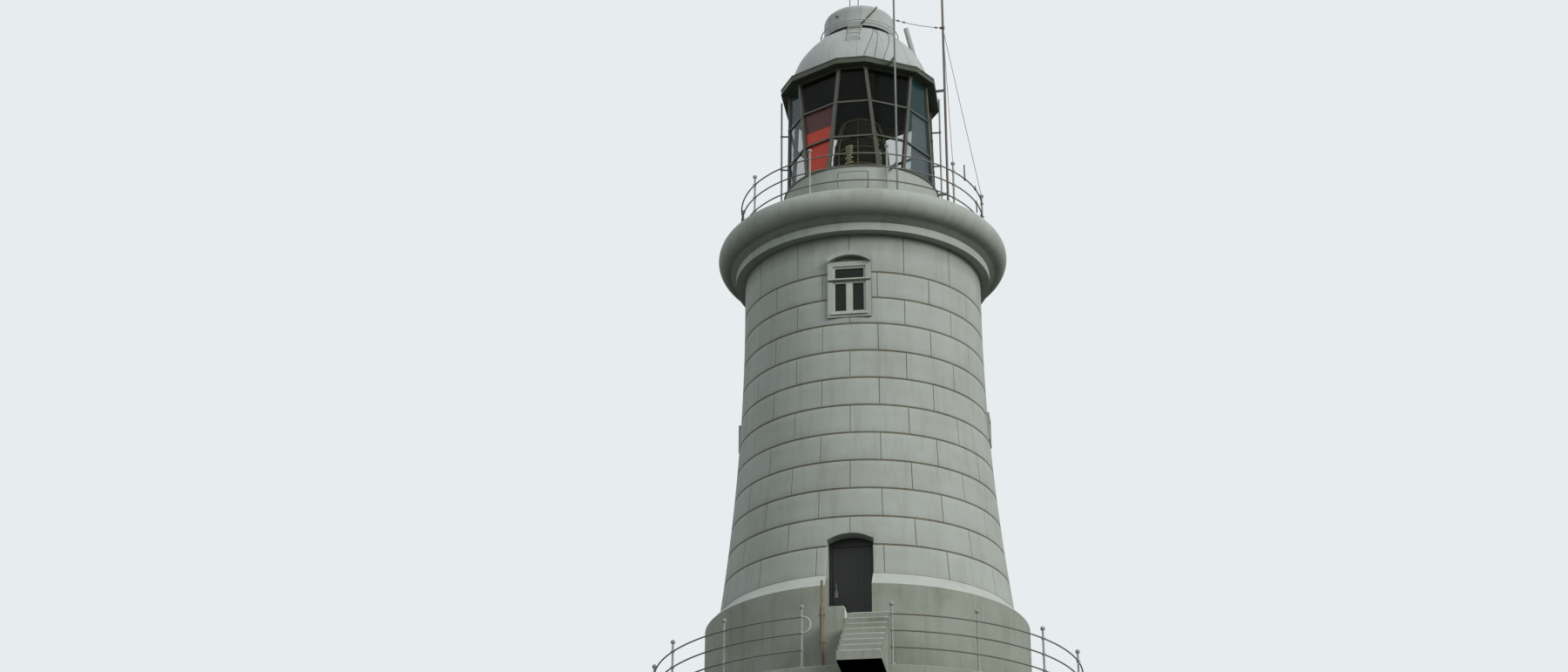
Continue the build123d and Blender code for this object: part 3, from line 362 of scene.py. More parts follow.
def row_points(row):
    """Points and faces of one row of blocks: P(a, z) = ((R(z) + h) sin a, -(R(z) + h) cos a, z), where h rises from
    -4 mm at the row's rims and round openings to 12 mm, and dips to -4 mm in the thin joint between two blocks.
    An arched opening has the height top(x) = spring + rise - r + sqrt(r^2 - x^2)."""
    z0 = JOINTS[row] + (GAP if row else 0.0)
    z1 = JOINTS[row + 1] - GAP if row + 1 < len(JOINTS) else SHAFT_TOP
    radius = float(shaft_r((z0 + z1) / 2))
    step = 2 * math.pi / BLOCKS_ROUND
    joints = (np.arange(BLOCKS_ROUND) + (0.5 if row % 2 == 0 else 0.0)) * step - math.pi + 1e-4
    z = [z0 + EDGE * k for k in RIM] + [z1 - EDGE * k for k in RIM]
    z += list(np.linspace(z0 + EDGE, z1 - EDGE, 5)[1:-1])
    a = list(np.linspace(-math.pi, math.pi, 133)[:-1])
    for joint in joints:
        a = [v for v in a if abs(v - joint) > 0.017 / radius]
        a += [joint + w / radius for w in THIN_JOINT]
    openings = []
    for centre, foot, spring, half, rise in HOLES:
        crown = spring + rise
        if foot < z1 and crown > z0:
            mid, width = math.radians(centre), math.asin(half / radius)
            openings.append((mid, width, foot, spring, rise, half))
            for side in (-1, 1):
                a = [v for v in a if abs(v - mid - side * width) > 0.03 / radius]
                for k in RIM:
                    v = mid + side * (width + EDGE * k / radius)
                    a.append((v + math.pi) % (2 * math.pi) - math.pi)
            if rise:
                z = [v for v in z if not spring - 0.03 < v < crown + 0.03
                     or v < z0 + EDGE * 1.01 or v > z1 - EDGE * 1.01]
            z += [v for k in RIM for v in (foot - EDGE * k, crown + EDGE * k) if z0 + EDGE < v < z1 - EDGE]
    a, z = np.array(sorted(a)), np.array(sorted(z))
    A, Z = np.meshgrid(a, z)

    def ramp(distance):
        return np.interp(distance, [k * EDGE for k in RIM], [DIP, RIM_SHARE * PROUD, PROUD])

    H = np.minimum(ramp(Z - z0), ramp(z1 - Z))
    near = np.min(np.abs((A[..., None] - joints + math.pi) % (2 * math.pi) - math.pi), -1) * radius
    H = np.where(near < THIN_HALF, DIP, H)
    keep = np.ones((len(z) - 1, len(a)), bool)
    mid_a = a + (np.diff(np.append(a, a[0] + 2 * math.pi))) / 2
    mid_z = (z[1:] + z[:-1]) / 2
    for mid, width, foot, spring, rise, half in openings:
        off = np.abs((A - mid + math.pi) % (2 * math.pi) - math.pi)
        top = np.full_like(Z, spring)
        if rise:
            bend = (half ** 2 + rise ** 2) / (2 * rise)
            top = spring + rise - bend + np.sqrt(bend ** 2 - np.minimum(off * radius, half) ** 2)
            follow = (Z > spring + rise - 1e-6) & (Z < spring + rise + EDGE * 1.01) & (off < width + 1e-6)
            Z = np.where(follow, Z - (spring + rise) + top, Z)
        away = np.hypot(np.maximum(off - width, 0) * radius, np.maximum(np.maximum(foot - Z, Z - top), 0))
        H = np.minimum(H, ramp(away))
        inside = np.abs((mid_a - mid + math.pi) % (2 * math.pi) - math.pi) < width
        keep &= ~(inside[None, :] & ((mid_z > foot) & (mid_z < spring + rise))[:, None])
    R = shaft_r(Z) + H
    points = np.stack([R * np.sin(A), -R * np.cos(A), Z], -1).reshape(-1, 3)
    return points, grid_faces(len(z), len(a), close_cols=True)[keep.ravel()]


def wall_blocks():
    """Every row of the shaft, each turned by half a block against the one under it."""
    verts, faces, start = [], [], 0
    for row in range(len(JOINTS)):
        points, quads = row_points(row)
        verts.append(points)
        faces.append(quads + start)
        start += len(points)
    return np.concatenate(verts), np.concatenate(faces)


points, quads = wall_blocks()
blocks = new_object("wall_blocks", points, quads, BLOCKS)
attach(blocks, "tower")


# Shapes used by the smaller pieces

def spot(radius, azimuth, z):
    """Point at a radius, an azimuth in degrees from the door (positive towards +X) and a height."""
    a = math.radians(azimuth)
    return Vector((radius * math.sin(a), -radius * math.cos(a), z))


def lathe(profile, turns=96):
    """Surface P(t, a) = (r(t) sin a, -r(t) cos a, z(t)) for a profile of (r, z) that starts and ends on the axis.
    The profile runs from the top down, so that the faces look out."""
    profile = np.asarray(profile, float)
    a = np.linspace(0, 2 * math.pi, turns, endpoint=False)
    body = profile[1:-1]
    ring = np.stack([np.outer(body[:, 0], np.sin(a)), -np.outer(body[:, 0], np.cos(a)),
                     np.repeat(body[:, 1:2], turns, 1)], -1).reshape(-1, 3)
    points = np.concatenate([[[0, 0, profile[0, 1]]], ring, [[0, 0, profile[-1, 1]]]])
    faces = [tuple(f) for f in grid_faces(len(body), turns, close_cols=True, start=1)[:, ::-1]]
    last = 1 + (len(body) - 1) * turns
    for j in range(turns):
        k = (j + 1) % turns
        faces.append((0, 1 + j, 1 + k))
        faces.append((len(points) - 1, last + k, last + j))
    return points, faces


def pipe(path, radius, sides=12):
    """Round bar of a radius along a path of points, P(s, a) = C(s) + r (cos a u + sin a v), with closed ends."""
    path = np.asarray([tuple(p) for p in path], float)
    along = np.gradient(path, axis=0)
    along /= np.linalg.norm(along, axis=1, keepdims=True)
    guide = np.array([0, 0, 1.0]) if abs(along[:, 2]).max() < 0.9 else np.array([1.0, 0.13, 0])
    u = np.cross(along, guide)
    u /= np.linalg.norm(u, axis=1, keepdims=True)
    v = np.cross(along, u)
    a = np.linspace(0, 2 * math.pi, sides, endpoint=False)
    r = np.broadcast_to(np.asarray(radius, float), (len(path),))[:, None, None]
    ring = path[:, None] + r * (np.cos(a)[None, :, None] * u[:, None] + np.sin(a)[None, :, None] * v[:, None])
    n = len(path) * sides
    points = np.concatenate([ring.reshape(-1, 3), path[:1], path[-1:]])
    faces = [tuple(f) for f in grid_faces(len(path), sides, close_cols=True)]
    for j in range(sides):
        k = (j + 1) % sides
        faces.append((n, k, j))
        faces.append((n + 1, n - sides + j, n - sides + k))
    return points, faces


def peg(circle, azimuth, z0, z1, radius, sides):
    """Upright round bar on a circle, from one height to another."""
    return pipe([spot(circle, azimuth, z0), spot(circle, azimuth, z1)], radius, sides)


def brick(centre, x_dir, z_dir, size):
    """Box with its middle at a point, its first size along x_dir and its third along z_dir."""
    x, z = Vector(x_dir).normalized(), Vector(z_dir).normalized()
    y = z.cross(x)
    half = [s / 2 for s in size]
    points = [Vector(centre) + x * half[0] * i + y * half[1] * j + z * half[2] * k
              for k in (-1, 1) for j in (-1, 1) for i in (-1, 1)]
    faces = [(0, 2, 3, 1), (4, 5, 7, 6), (0, 1, 5, 4), (2, 6, 7, 3), (0, 4, 6, 2), (1, 3, 7, 5)]
    return np.array([tuple(p) for p in points]), faces


def joined(name, parts, material, body="tower", smooth=True):
    """One piece made of several closed shapes."""
    verts, faces, start = [], [], 0
    for points, quads in parts:
        verts.append(np.asarray(points, float))
        faces += [tuple(int(i) + start for i in f) for f in quads]
        start += len(points)
    obj = new_object(name, np.concatenate(verts), faces, material, smooth)
    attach(obj, body)
    return obj


def sharp_edges(obj, angle):
    """Smooth faces with sharp edges wherever two of them meet at more than an angle in degrees."""
    mesh = obj.data
    mesh.polygons.foreach_set("use_smooth", np.ones(len(mesh.polygons), bool))
    mesh.set_sharp_from_angle(angle=math.radians(angle))


for node in nodes.values():
    sharp_edges(node, 32)
sharp_edges(blocks, 50)


# Lens: rings of prisms

def lens_r(t):
    """Radius of the lens's barrel at t from 0 at its foot to 1 at its top."""
    return LENS_END_R + LENS_BULGE * (1 - (2 * t - 1) ** 2)


def lens_profile(rings=26):
    """Half outline of the lens: r(z) follows a barrel and steps in by up to 35 mm at each ring of prisms."""
    low, high, core_r = LENS_FOOT + 0.001, LENS_FOOT + LENS_TALL - 0.001, LENS_END_R - 0.03
    points = [(0, high), (core_r, high)]
    for k in range(rings):
        for share, depth in ((0.04, 0.035), (0.5, 0.0), (0.96, 0.035)):
            t = (k + share) / rings
            points.append((lens_r(t) - depth, LENS_FOOT + LENS_TALL * (1 - t)))
    return points + [(core_r, low), (0, low)]


lens = joined("lens_prisms", [lathe(lens_profile(), 64)], LENS)
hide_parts("lens")
sharp_edges(lens, 20)


# Dome: a dark lining of painted shade inside it, and seams

def dome_r(t, inset=0.0):
    """Point (r, z) of the dome's outer line at t from 0 at its foot to 1 at its crown: a circle's arc."""
    foot, crown = np.array([DOME_FOOT_R, EAVE_TOP]), np.array([DOME_CROWN_R, DOME_TOP])
    chord = crown - foot
    length = np.linalg.norm(chord)
    along, square = chord / length, np.array([-chord[1], chord[0]]) / length * -1
    radius = (length ** 2 / 4 + DOME_BULGE ** 2) / (2 * DOME_BULGE)
    swing = math.asin(length / 2 / radius)
    angle = (2 * np.asarray(t) - 1) * swing
    x = radius * np.sin(angle)
    y = radius * np.cos(angle) - (radius - DOME_BULGE)
    out = np.stack([np.sin(angle), np.cos(angle)], -1)
    point = (foot + crown) / 2 + np.outer(x, along) + np.outer(y, square)
    normal = np.outer(out[:, 0], along) + np.outer(out[:, 1], square)
    return point - normal * inset, normal


def dome_shade_lining(turns=96):
    """Painted shade inside the dome: a dark closed shell from 42 mm to 50 mm inside the dome's outer line."""
    t = np.linspace(0.0, 1.0, 24)
    inner, _ = dome_r(t, 0.050)
    outer, _ = dome_r(t, 0.042)
    inner[:, 1] = np.clip(inner[:, 1], EAVE_TOP + 0.001, DOME_TOP - 0.05)
    outer[:, 1] = np.clip(outer[:, 1], EAVE_TOP + 0.001, DOME_TOP - 0.045)
    a = np.linspace(0, 2 * math.pi, turns, endpoint=False)
    loop = np.concatenate([outer, inner[::-1]])
    points = np.stack([np.outer(loop[:, 0], np.sin(a)), -np.outer(loop[:, 0], np.cos(a)),
                       np.repeat(loop[:, 1:2], turns, 1)], -1).reshape(-1, 3)
    return points, grid_faces(len(loop), turns, close_rows=True, close_cols=True)


# Painted shade: a near-black colour for the inside of the dome
SHADE_INSIDE = surface("Dark inside", (0.018, 0.018, 0.017), patches=0.1, streaks=0.0, rough=0.9)
joined("dome_shade_lining", [dome_shade_lining()], SHADE_INSIDE)


def dome_seams(count=16, start=4.0):
    """Standing seams up the dome: thin round bars laid along its outer line."""
    line, normal = dome_r(np.linspace(0.005, 0.985, 30), -0.001)
    for k in range(count):
        a = math.radians(start + 360 / count * k)
        yield pipe(np.stack([line[:, 0] * math.sin(a), -line[:, 0] * math.cos(a), line[:, 1]], -1), 0.007, 8)


joined("dome_seams", dome_seams(), DOME)


# Vent hood: lap seams, a strap up its front and a knob

HOOD_R, HOOD_FOOT, HOOD_SKIRT = 0.900, 18.177, 0.480
SHOULDER, CROWN_RISE = 0.190, 0.110
SKIRT_END, SHOULDER_END = 0.4, 0.6
KNOB_AZIMUTH, KNOB_Z = -31.6, HOOD_FOOT + 0.37


def hood_line(t):
    """Point (r, z) of the hood's outer line at t from 0 at its lower rim to 1 at its crown."""
    if t < SKIRT_END:
        return HOOD_R, HOOD_FOOT + HOOD_SKIRT * t / SKIRT_END
    edge = HOOD_R - SHOULDER
    if t < SHOULDER_END:
        turn = (t - SKIRT_END) / 0.2 * math.pi / 2
        return edge + SHOULDER * math.cos(turn), HOOD_FOOT + HOOD_SKIRT + SHOULDER * math.sin(turn)
    ball = (edge ** 2 + CROWN_RISE ** 2) / (2 * CROWN_RISE)
    r = edge * (1 - (t - SHOULDER_END) / 0.4)
    top = HOOD_FOOT + HOOD_SKIRT + SHOULDER + CROWN_RISE
    return r, top - ball + math.sqrt(ball ** 2 - r ** 2)


def on_hood(t, azimuth, lift=0.0):
    """Point on the hood, lifted off its side or off its crown."""
    r, z = hood_line(t)
    return spot(r + (lift if t < SHOULDER_END else 0), azimuth, z + (lift if t >= 0.5 else 0))


seams = [pipe([on_hood(t, az, 0.001) for t in np.linspace(0.01, 0.97, 40)], 0.005, 8) for az in range(10, 370, 60)]
rims = [pipe([spot(HOOD_R + 0.002, a, HOOD_FOOT + 0.010) for a in np.linspace(0, 360, 121)], 0.009, 8)]
joined("hood_seams", seams + rims, DOME)
strap = [on_hood(t, az, 0.016) for t, az in zip(np.linspace(0.02, 0.58, 30), np.linspace(9.4, 41.5, 30))]
SEAM = surface("Seam", (0.06, 0.065, 0.05), patches=0.2, streaks=0.0, rough=0.9)
joined("hood_strap", [pipe(strap, 0.018, 8)], SEAM)
knob_root, knob, knob_end = (spot(HOOD_R + reach, KNOB_AZIMUTH, KNOB_Z) for reach in (-0.004, 0.03, 0.055))
joined("hood_knob", [pipe([knob_root, knob], 0.016, 12), pipe([knob, knob_end], 0.030, 16)], STEEL)

# Eave: a lip round its top and another round its foot

EAVE_R = 2.035
HEADS = [SIDE_STEP * (k + 0.5) + (-BAR_LEAN if k % 2 == 0 else BAR_LEAN) for k in range(SIDES)]


def polygon_band(radius, z0, z1, depth):
    """Closed band of a twelve-sided outline, as a loop of four rings of corners."""
    corners = [(radius, z0), (radius, z1), (radius - depth, z1), (radius - depth, z0)]
    points = [spot(r, a, z) for r, z in corners for a in HEADS]
    return np.array([tuple(p) for p in points]), grid_faces(4, SIDES, close_rows=True, close_cols=True)[:, ::-1]


joined("eave_lips", [polygon_band(EAVE_R + 0.012, EAVE_TOP - 0.022, EAVE_TOP + 0.003, 0.03),
                     polygon_band(EAVE_R + 0.008, GLASS_TOP - 0.002, GLASS_TOP + 0.016, 0.03)], DARK, smooth=False)

# Lantern frame: bosses where the bars cross the rings, and bolts round the sill


def bar_at(index, z):
    """Azimuth and radius of a glazing bar at a height: it is a straight bar between its foot and its head."""
    middle, lean = SIDE_STEP * (index + 0.5), BAR_LEAN if index % 2 == 0 else -BAR_LEAN
    foot, head = spot(BAR_R, middle + lean, GLASS_FOOT), spot(BAR_R, middle - lean, GLASS_TOP)
    p = foot.lerp(head, (z - GLASS_FOOT) / (GLASS_TOP - GLASS_FOOT))
    return azimuth_of(p), math.hypot(p.x, p.y)


bosses = []
for index in range(SIDES):
    for z in [GLASS_FOOT + rise for rise in RING_RISES]:
        az, r = bar_at(index, z)
        out = spot(1, az, 0)
        face = spot(r + 0.040, az, z)
        bosses.append(brick(face, out, UP, (0.012, 0.062, 0.11)))
        for dz in (-0.035, 0.035):
            bosses.append(pipe([face + Vector((0, 0, dz)), face + out * 0.014 + Vector((0, 0, dz))], 0.009, 8))
    for z in (GLASS_FOOT + 0.055, GLASS_TOP - 0.055):
        az, r = bar_at(index, z)
        bosses.append(brick(spot(r + 0.038, az, z), spot(1, az, 0), UP, (0.014, 0.11, 0.09)))
joined("frame_bosses", bosses, BARS, smooth=False)
bolts = [peg(1.905, az, GLASS_FOOT - 0.002, GLASS_FOOT + 0.012, 0.009, 6) for az in np.arange(3.75, 360, 7.5)]
joined("sill_bolts", bolts, DARK)

# Gallery door: its seam, a cross-shaped latch and its hinges

DOOR_LOW, DOOR_HIGH, DOOR_HALF = GALLERY + 0.130, GALLERY + 1.210, 0.360


def wall_strip(radius, az0, az1, z0, z1, thick):
    """Curved strip that lies on a round wall, as a closed box bent round the axis."""
    n = max(2, int(abs(az1 - az0) / 2) + 2)
    az = np.linspace(az0, az1, n)
    corners = [(radius - 0.003, z0), (radius + thick, z0), (radius + thick, z1), (radius - 0.003, z1)]
    points = [tuple(spot(r, a, z)) for a in az for r, z in corners]
    faces = [tuple(f) for f in grid_faces(n, 4, close_cols=True)]
    last = 4 * (n - 1)
    return np.array(points), faces + [(3, 2, 1, 0), (last, last + 1, last + 2, last + 3)]


edge = math.degrees(math.asin(DOOR_HALF / PARAPET_R))
seam = [wall_strip(PARAPET_R, -edge - 0.25, -edge + 0.15, DOOR_LOW, DOOR_HIGH, 0.001),
        wall_strip(PARAPET_R, edge - 0.25, edge + 0.30, DOOR_LOW, DOOR_HIGH, 0.001),
        wall_strip(PARAPET_R, -edge, edge, DOOR_HIGH - 0.006, DOOR_HIGH + 0.008, 0.001),
        wall_strip(PARAPET_R, -edge, edge, DOOR_LOW - 0.006, DOOR_LOW + 0.006, 0.001)]
joined("gallery_door_seam", seam, SEAM, smooth=False)
latch = [wall_strip(PARAPET_R, edge - 3.6, edge + 3.2, DOOR_HIGH - 0.53, DOOR_HIGH - 0.505, 0.018),
         wall_strip(PARAPET_R, edge - 0.6, edge + 0.3, DOOR_HIGH - 0.62, DOOR_HIGH - 0.42, 0.022)]
joined("gallery_door_latch", latch, STEEL, smooth=False)
hinge_levels = [DOOR_HIGH - drop for drop in (0.20, 0.90)]
hinges = [wall_strip(PARAPET_R, -edge - 1.2, -edge + 5.0, z, z + 0.045, 0.010) for z in hinge_levels]
hinges += [peg(PARAPET_R + 0.012, -edge, z - 0.01, z + 0.055, 0.014, 12) for z in hinge_levels]
joined("gallery_door_hinges", hinges, RENDER, smooth=False)

# Upper windows: a batten and a rod across the transom, a bead round each light and a sill

WINDOW_SILL, FACE_R = 9.237, 2.8476
WINDOW_TOP = WINDOW_SILL + 1.176
FRAME_BAR, TOP_LIGHT, TRANSOM = 0.042, 0.257, 0.124
SURROUND_STAND, WINDOW_RECESS = 0.034, 0.030
LIGHT_HALF, LOW_LIGHT_X, LOW_LIGHT_HALF = 0.340, 0.2045, 0.1355


def window_bars(azimuth):
    """Parts of an upper window: those in the window's paint, and the dark rod with its two brackets."""
    out, side = spot(1, azimuth, 0), spot(1, azimuth + 90, 0)
    middle = out * FACE_R

    def at(x, z, lift=0.0):
        return middle + side * x + Vector((0, 0, z)) + out * lift

    bead = SURROUND_STAND - WINDOW_RECESS - 0.012
    bar_z = WINDOW_TOP - FRAME_BAR - TOP_LIGHT - TRANSOM / 2
    white = [brick(at(0, bar_z + 0.034, 0.030), side, UP, (1.0, 0.022, 0.030))]
    rod = [pipe([at(-0.49, bar_z - 0.010, 0.042), at(0.49, bar_z - 0.010, 0.042)], 0.016, 12)]
    rod += [pipe([at(x, bar_z - 0.010, 0.020), at(x, bar_z - 0.010, 0.046)], 0.010, 8) for x in (-0.46, 0.46)]
    lights = [(-LIGHT_HALF, LIGHT_HALF, WINDOW_TOP - FRAME_BAR - TOP_LIGHT, WINDOW_TOP - FRAME_BAR)]
    lights += [(x - LOW_LIGHT_HALF, x + LOW_LIGHT_HALF, WINDOW_SILL + FRAME_BAR,
                WINDOW_TOP - FRAME_BAR - TOP_LIGHT - TRANSOM) for x in (-LOW_LIGHT_X, LOW_LIGHT_X)]
    for x0, x1, z0, z1 in lights:
        for x in (x0 + 0.005, x1 - 0.005):
            white.append(brick(at(x, (z0 + z1) / 2, bead), side, UP, (0.010, 0.016, z1 - z0)))
        for z in (z0 + 0.005, z1 - 0.005):
            white.append(brick(at((x0 + x1) / 2, z, bead), side, UP, (x1 - x0, 0.016, 0.010)))
    white.append(brick(at(0, WINDOW_SILL - 0.035, 0.040), side, UP, (0.86, 0.060, 0.045)))
    return white, rod


for label, azimuth in (("front", 0), ("back", 180)):
    white, rod = window_bars(azimuth)
    joined(f"window_beads_{label}", white, SASH, smooth=False)
    joined(f"window_rod_{label}", rod, SEAM)

# Entrance door: boards, three rows of nail heads and a lock plate on its outer face

LEAF_Y, LEAF_LOW, LEAF_HIGH, LEAF_HALF = -2.8909, 1.620, 3.530, 0.433
BOARD_COUNT, LEAF_EDGE, BOARD_JOINT = 6, 0.015, 0.007
LOCK_X = -0.343
leaf_middle = (LEAF_LOW + LEAF_HIGH) / 2
wide = (2 * LEAF_HALF - 2 * LEAF_EDGE) / BOARD_COUNT
board_middles = [-LEAF_HALF + LEAF_EDGE + wide * (k + 0.5) for k in range(BOARD_COUNT)]
boards = [brick((x, LEAF_Y, leaf_middle), (1, 0, 0), UP, (wide - BOARD_JOINT, 0.008, LEAF_HIGH - LEAF_LOW))
          for x in board_middles]
for z in (LEAF_LOW + 0.22, leaf_middle, LEAF_HIGH - 0.22):
    for x in board_middles:
        for dx in (-0.035, 0.035):
            boards.append(pipe([(x + dx, LEAF_Y - 0.003, z), (x + dx, LEAF_Y - 0.007, z)], 0.008, 8))
joined("door_boards", boards, JOINERY, "door", smooth=False)
plate = [brick((LOCK_X, LEAF_Y - 0.004, 2.48), (1, 0, 0), UP, (0.070, 0.006, 0.16)),
         pipe([(LOCK_X, LEAF_Y - 0.006, 2.43), (LOCK_X, LEAF_Y - 0.012, 2.43)], 0.014, 12)]
joined("door_lock_plate", plate, STEEL, "door", smooth=False)

# Steps: worn nosings, and painted highlight on the landing block's right side and rounded edge, where the light falls

STEP_COUNT, STEP_TREAD, STEP_RISE = 8, 0.270, 0.200
LANDING_Y, LANDING_Z = -4.248, 1.600
nosings = []
for k in range(STEP_COUNT):
    y, z = LANDING_Y - STEP_TREAD * k, LANDING_Z - STEP_RISE * k
    x = np.linspace(0.047, 0.938, 10)
    nosings.append(pipe([(v, y + 0.012, z - 0.012 + 0.001 * math.sin(7 * v + k)) for v in x], 0.016, 10))
joined("step_nosings", nosings, BAND)
# Painted highlight: a paler render for the landing block's lit side
LIT_SIDE_RENDER = surface("Bright render", (0.58, 0.60, 0.55), dirt=(0.32, 0.30, 0.22), patches=0.4, streaks=0.3)
BLOCK_LEFT, BLOCK_RIGHT, BLOCK_TOP, BLOCK_ROUND, INSET = -0.510, 0.035, 1.680, 0.090, 0.010
BLOCK_Y = LANDING_Y - 0.240
bend_x, bend_z, bend_r = BLOCK_RIGHT - BLOCK_ROUND, BLOCK_TOP - BLOCK_ROUND, BLOCK_ROUND - INSET
rim = [(BLOCK_RIGHT - INSET, 0.300)]
rim += [(bend_x + bend_r * math.cos(t), bend_z + bend_r * math.sin(t)) for t in np.linspace(0, math.pi / 2, 8)]
joined("block_highlight_edge", [pipe([(x, BLOCK_Y + INSET, z) for x, z in rim], 0.014, 10)], LIT_SIDE_RENDER)
# The block's faces towards +X take the painted highlight
second_look("landing_block", LIT_SIDE_RENDER, lambda face: face.normal.x > 0.3)

# Stub post: three collars, and two straps to the block

STUB_R, STRAP_LEVELS = 0.026, (0.90, 1.50)
post_x, post_y = BLOCK_LEFT + 2 * STUB_R, BLOCK_Y - STUB_R
post = [pipe([(post_x, post_y, z - 0.02), (post_x, post_y, z + 0.02)], 0.032, 14) for z in (*STRAP_LEVELS, 1.90)]
post += [brick((post_x, post_y + 0.022, z), (1, 0, 0), UP, (0.13, 0.008, 0.040)) for z in STRAP_LEVELS]
joined("stub_post_straps", post, RUST, smooth=False)

# Railings: bolts through the feet of the posts, and pins through their collars

bolts = []
for circle, level, azimuths in ((RAIL_CIRCLE, GALLERY, [18 + 36 * k for k in range(10)]),
                                (TERRACE_CIRCLE, TERRACE_TOP, [-10.2 + 22.5 * k for k in range(16)])):
    for azimuth in azimuths:
        post = spot(circle, azimuth, level)
        for turn in (45, 135, 225, 315):
            foot = post + spot(0.045, azimuth + turn, 0.038)
            bolts.append(pipe([foot, foot + Vector((0, 0, 0.014))], 0.009, 6))
        for height in RAIL_HEIGHTS:
            out = spot(1, azimuth, 0)
            pin = post + Vector((0, 0, height)) + out * 0.036
            bolts.append(pipe([pin, pin + out * 0.014], 0.010, 6))
joined("rail_bolts", bolts, STEEL, smooth=False)

# Gallery rail: a short rod and two clamps on the right

ROD_AZIMUTH, CLAMP_AZIMUTH = 63.2, 74.8
rail_z = GALLERY + RAIL_HEIGHTS[-1]
clamps = [pipe([spot(RAIL_CIRCLE, ROD_AZIMUTH, rail_z - 0.05), spot(2.975, 62.6, rail_z + 0.36)], 0.018, 12),
          pipe([spot(RAIL_CIRCLE, 75.5, rail_z - 0.30), spot(RAIL_CIRCLE, 76.2, rail_z - 0.60)], 0.016, 12)]
clamps += [pipe([spot(RAIL_CIRCLE, az - 0.6, z), spot(RAIL_CIRCLE, az + 0.6, z)], 0.027, 12)
           for az, z in ((ROD_AZIMUTH, rail_z), (CLAMP_AZIMUTH, rail_z), (75.6, rail_z - 0.355))]
clamps.append(peg(RAIL_CIRCLE, CLAMP_AZIMUTH, rail_z, rail_z + 0.09, 0.014, 12))
joined("rail_clamps", clamps, SIDE_MAST)

# Tie between the vent hood and the side mast, with its clamps

TIE_Z, TIE_SAG = 18.335, 0.05
tie_head = on_hood(0.43, 74.6, -0.004)
tie_foot = spot(SIDE_MAST_CIRCLE - 0.028, SIDE_MAST_AZIMUTH, TIE_Z)


def sag(t):
    """Drop of the tie at t below the straight line between its ends: a parabola that is deepest at its middle."""
    return Vector((0, 0, TIE_SAG * 4 * t * (1 - t)))


ties = [pipe([tie_head.lerp(tie_foot, t) - sag(t) for t in np.linspace(0, 1, 14)], 0.008, 8)]
ties += [pipe([tie_head.lerp(tie_foot, t) - sag(t), tie_head.lerp(tie_foot, t + 0.05) - sag(t)], 0.022, 10)
         for t in (0.10, 0.22, 0.86)]
ties.append(peg(SIDE_MAST_CIRCLE, SIDE_MAST_AZIMUTH, 18.30, 18.37, 0.045, 14))
ties.append(brick(spot(SIDE_MAST_CIRCLE - 0.055, SIDE_MAST_AZIMUTH, TIE_Z), spot(1, SIDE_MAST_AZIMUTH, 0), UP,
                  (0.05, 0.03, 0.05)))
joined("mast_tie", ties, SIDE_MAST)

# Downpipes: straps round the pipes, with arms to the parapet and to the glazing's rings

ARM_END = 1.965
straps = []
for azimuth in DOWNPIPE_AZIMUTHS:
    for z, reach in ((12.70, 1.896), (13.30, 1.896), (14.505, 1.745), (15.458, 1.745)):
        straps.append(peg(DOWNPIPE_CIRCLE, azimuth, z - 0.02, z + 0.02, 0.032, 14))
        straps.append(brick(spot((reach + ARM_END) / 2, azimuth, z), spot(1, azimuth, 0), UP,
                            (ARM_END - reach, 0.026, 0.034)))
joined("downpipe_straps", straps, STEEL, smooth=False)

# Lens: brass uprights and rings of its cage, strips of painted glint on its prisms, and a plate


def on_lens(t, azimuth):
    """Point just outside the lens at t from 0 at its foot to 1 at its top."""
    return spot(lens_r(t) + 0.004, azimuth, LENS_FOOT + LENS_TALL * t)


cage = [pipe([on_lens(t, az) for t in np.linspace(0.012, 0.988, 21)], 0.014, 8) for az in range(0, 360, 45)]
cage += [pipe([on_lens(t, az) for az in np.linspace(0, 360, 73)], 0.014, 8)
         for t in (0.02, 0.27, 0.40, 0.60, 0.73, 0.98)]
BRASS = surface("Lens brass", (0.36, 0.31, 0.12), dirt=(0.12, 0.10, 0.05), patches=0.3, rough=0.35, metallic=0.9)
joined("lens_cage", cage, BRASS)

# Strips of painted glint laid on the prisms
GLINT_PITCH, GLINT_TALL = 0.066, 0.036
glint_strips = []
for az, half, foot, count in ((-19, 9, 14.30, 9), (-14, 4, 14.62, 4), (47, 7, 14.05, 12), (44, 4, 14.85, 8)):
    for k in range(count):
        z = foot + GLINT_PITCH * k
        reach = half * (0.45 + 0.55 * abs(math.sin(1.7 * k + az)))
        ring = lens_r((z + 0.02 - LENS_FOOT) / LENS_TALL) + 0.004
        glint_strips.append(wall_strip(ring, az - reach, az + reach, z, z + GLINT_TALL, 0.006))
joined("lens_glints", glint_strips, GLINT, smooth=False)
plates = [wall_strip(lens_r(0.2) + 0.012, 40, 50, 13.74, 13.98, 0.006)]
joined("lens_plate", plates, WHITE, smooth=False)

# Dome: thin cables laid over its front

cables = []
for top_az, low_az, top_t in ((26.6, 7.9, 0.93), (28.8, 17.0, 0.90), (45.2, 24.1, 0.90)):
    line, _ = dome_r(np.linspace(0.02, top_t, 24), -0.006)
    cables.append(pipe([spot(r, az, z) for (r, z), az in zip(line, np.linspace(low_az, top_az, 24))], 0.005, 8))
joined("dome_cables", cables, SEAM)

# Roof: bolted flange and rivets round the dome's foot, brackets under the eave's corners

flange = [polygon_band(1.900, EAVE_TOP - 0.001, EAVE_TOP + 0.012, 0.100)]
rivets = [peg(1.85, az, EAVE_TOP + 0.008, EAVE_TOP + 0.022, 0.011, 6) for az in np.arange(2.5, 360, 5)]
joined("dome_flange", flange + rivets, DOME, smooth=False)
brackets = [brick(spot(1.915, az, GLASS_TOP - 0.012), spot(1, az, 0), UP, (0.150, 0.040, 0.026)) for az in HEADS]
joined("eave_brackets", brackets, DARK, smooth=False)

# Camera, below the foot of the tower as in the photo

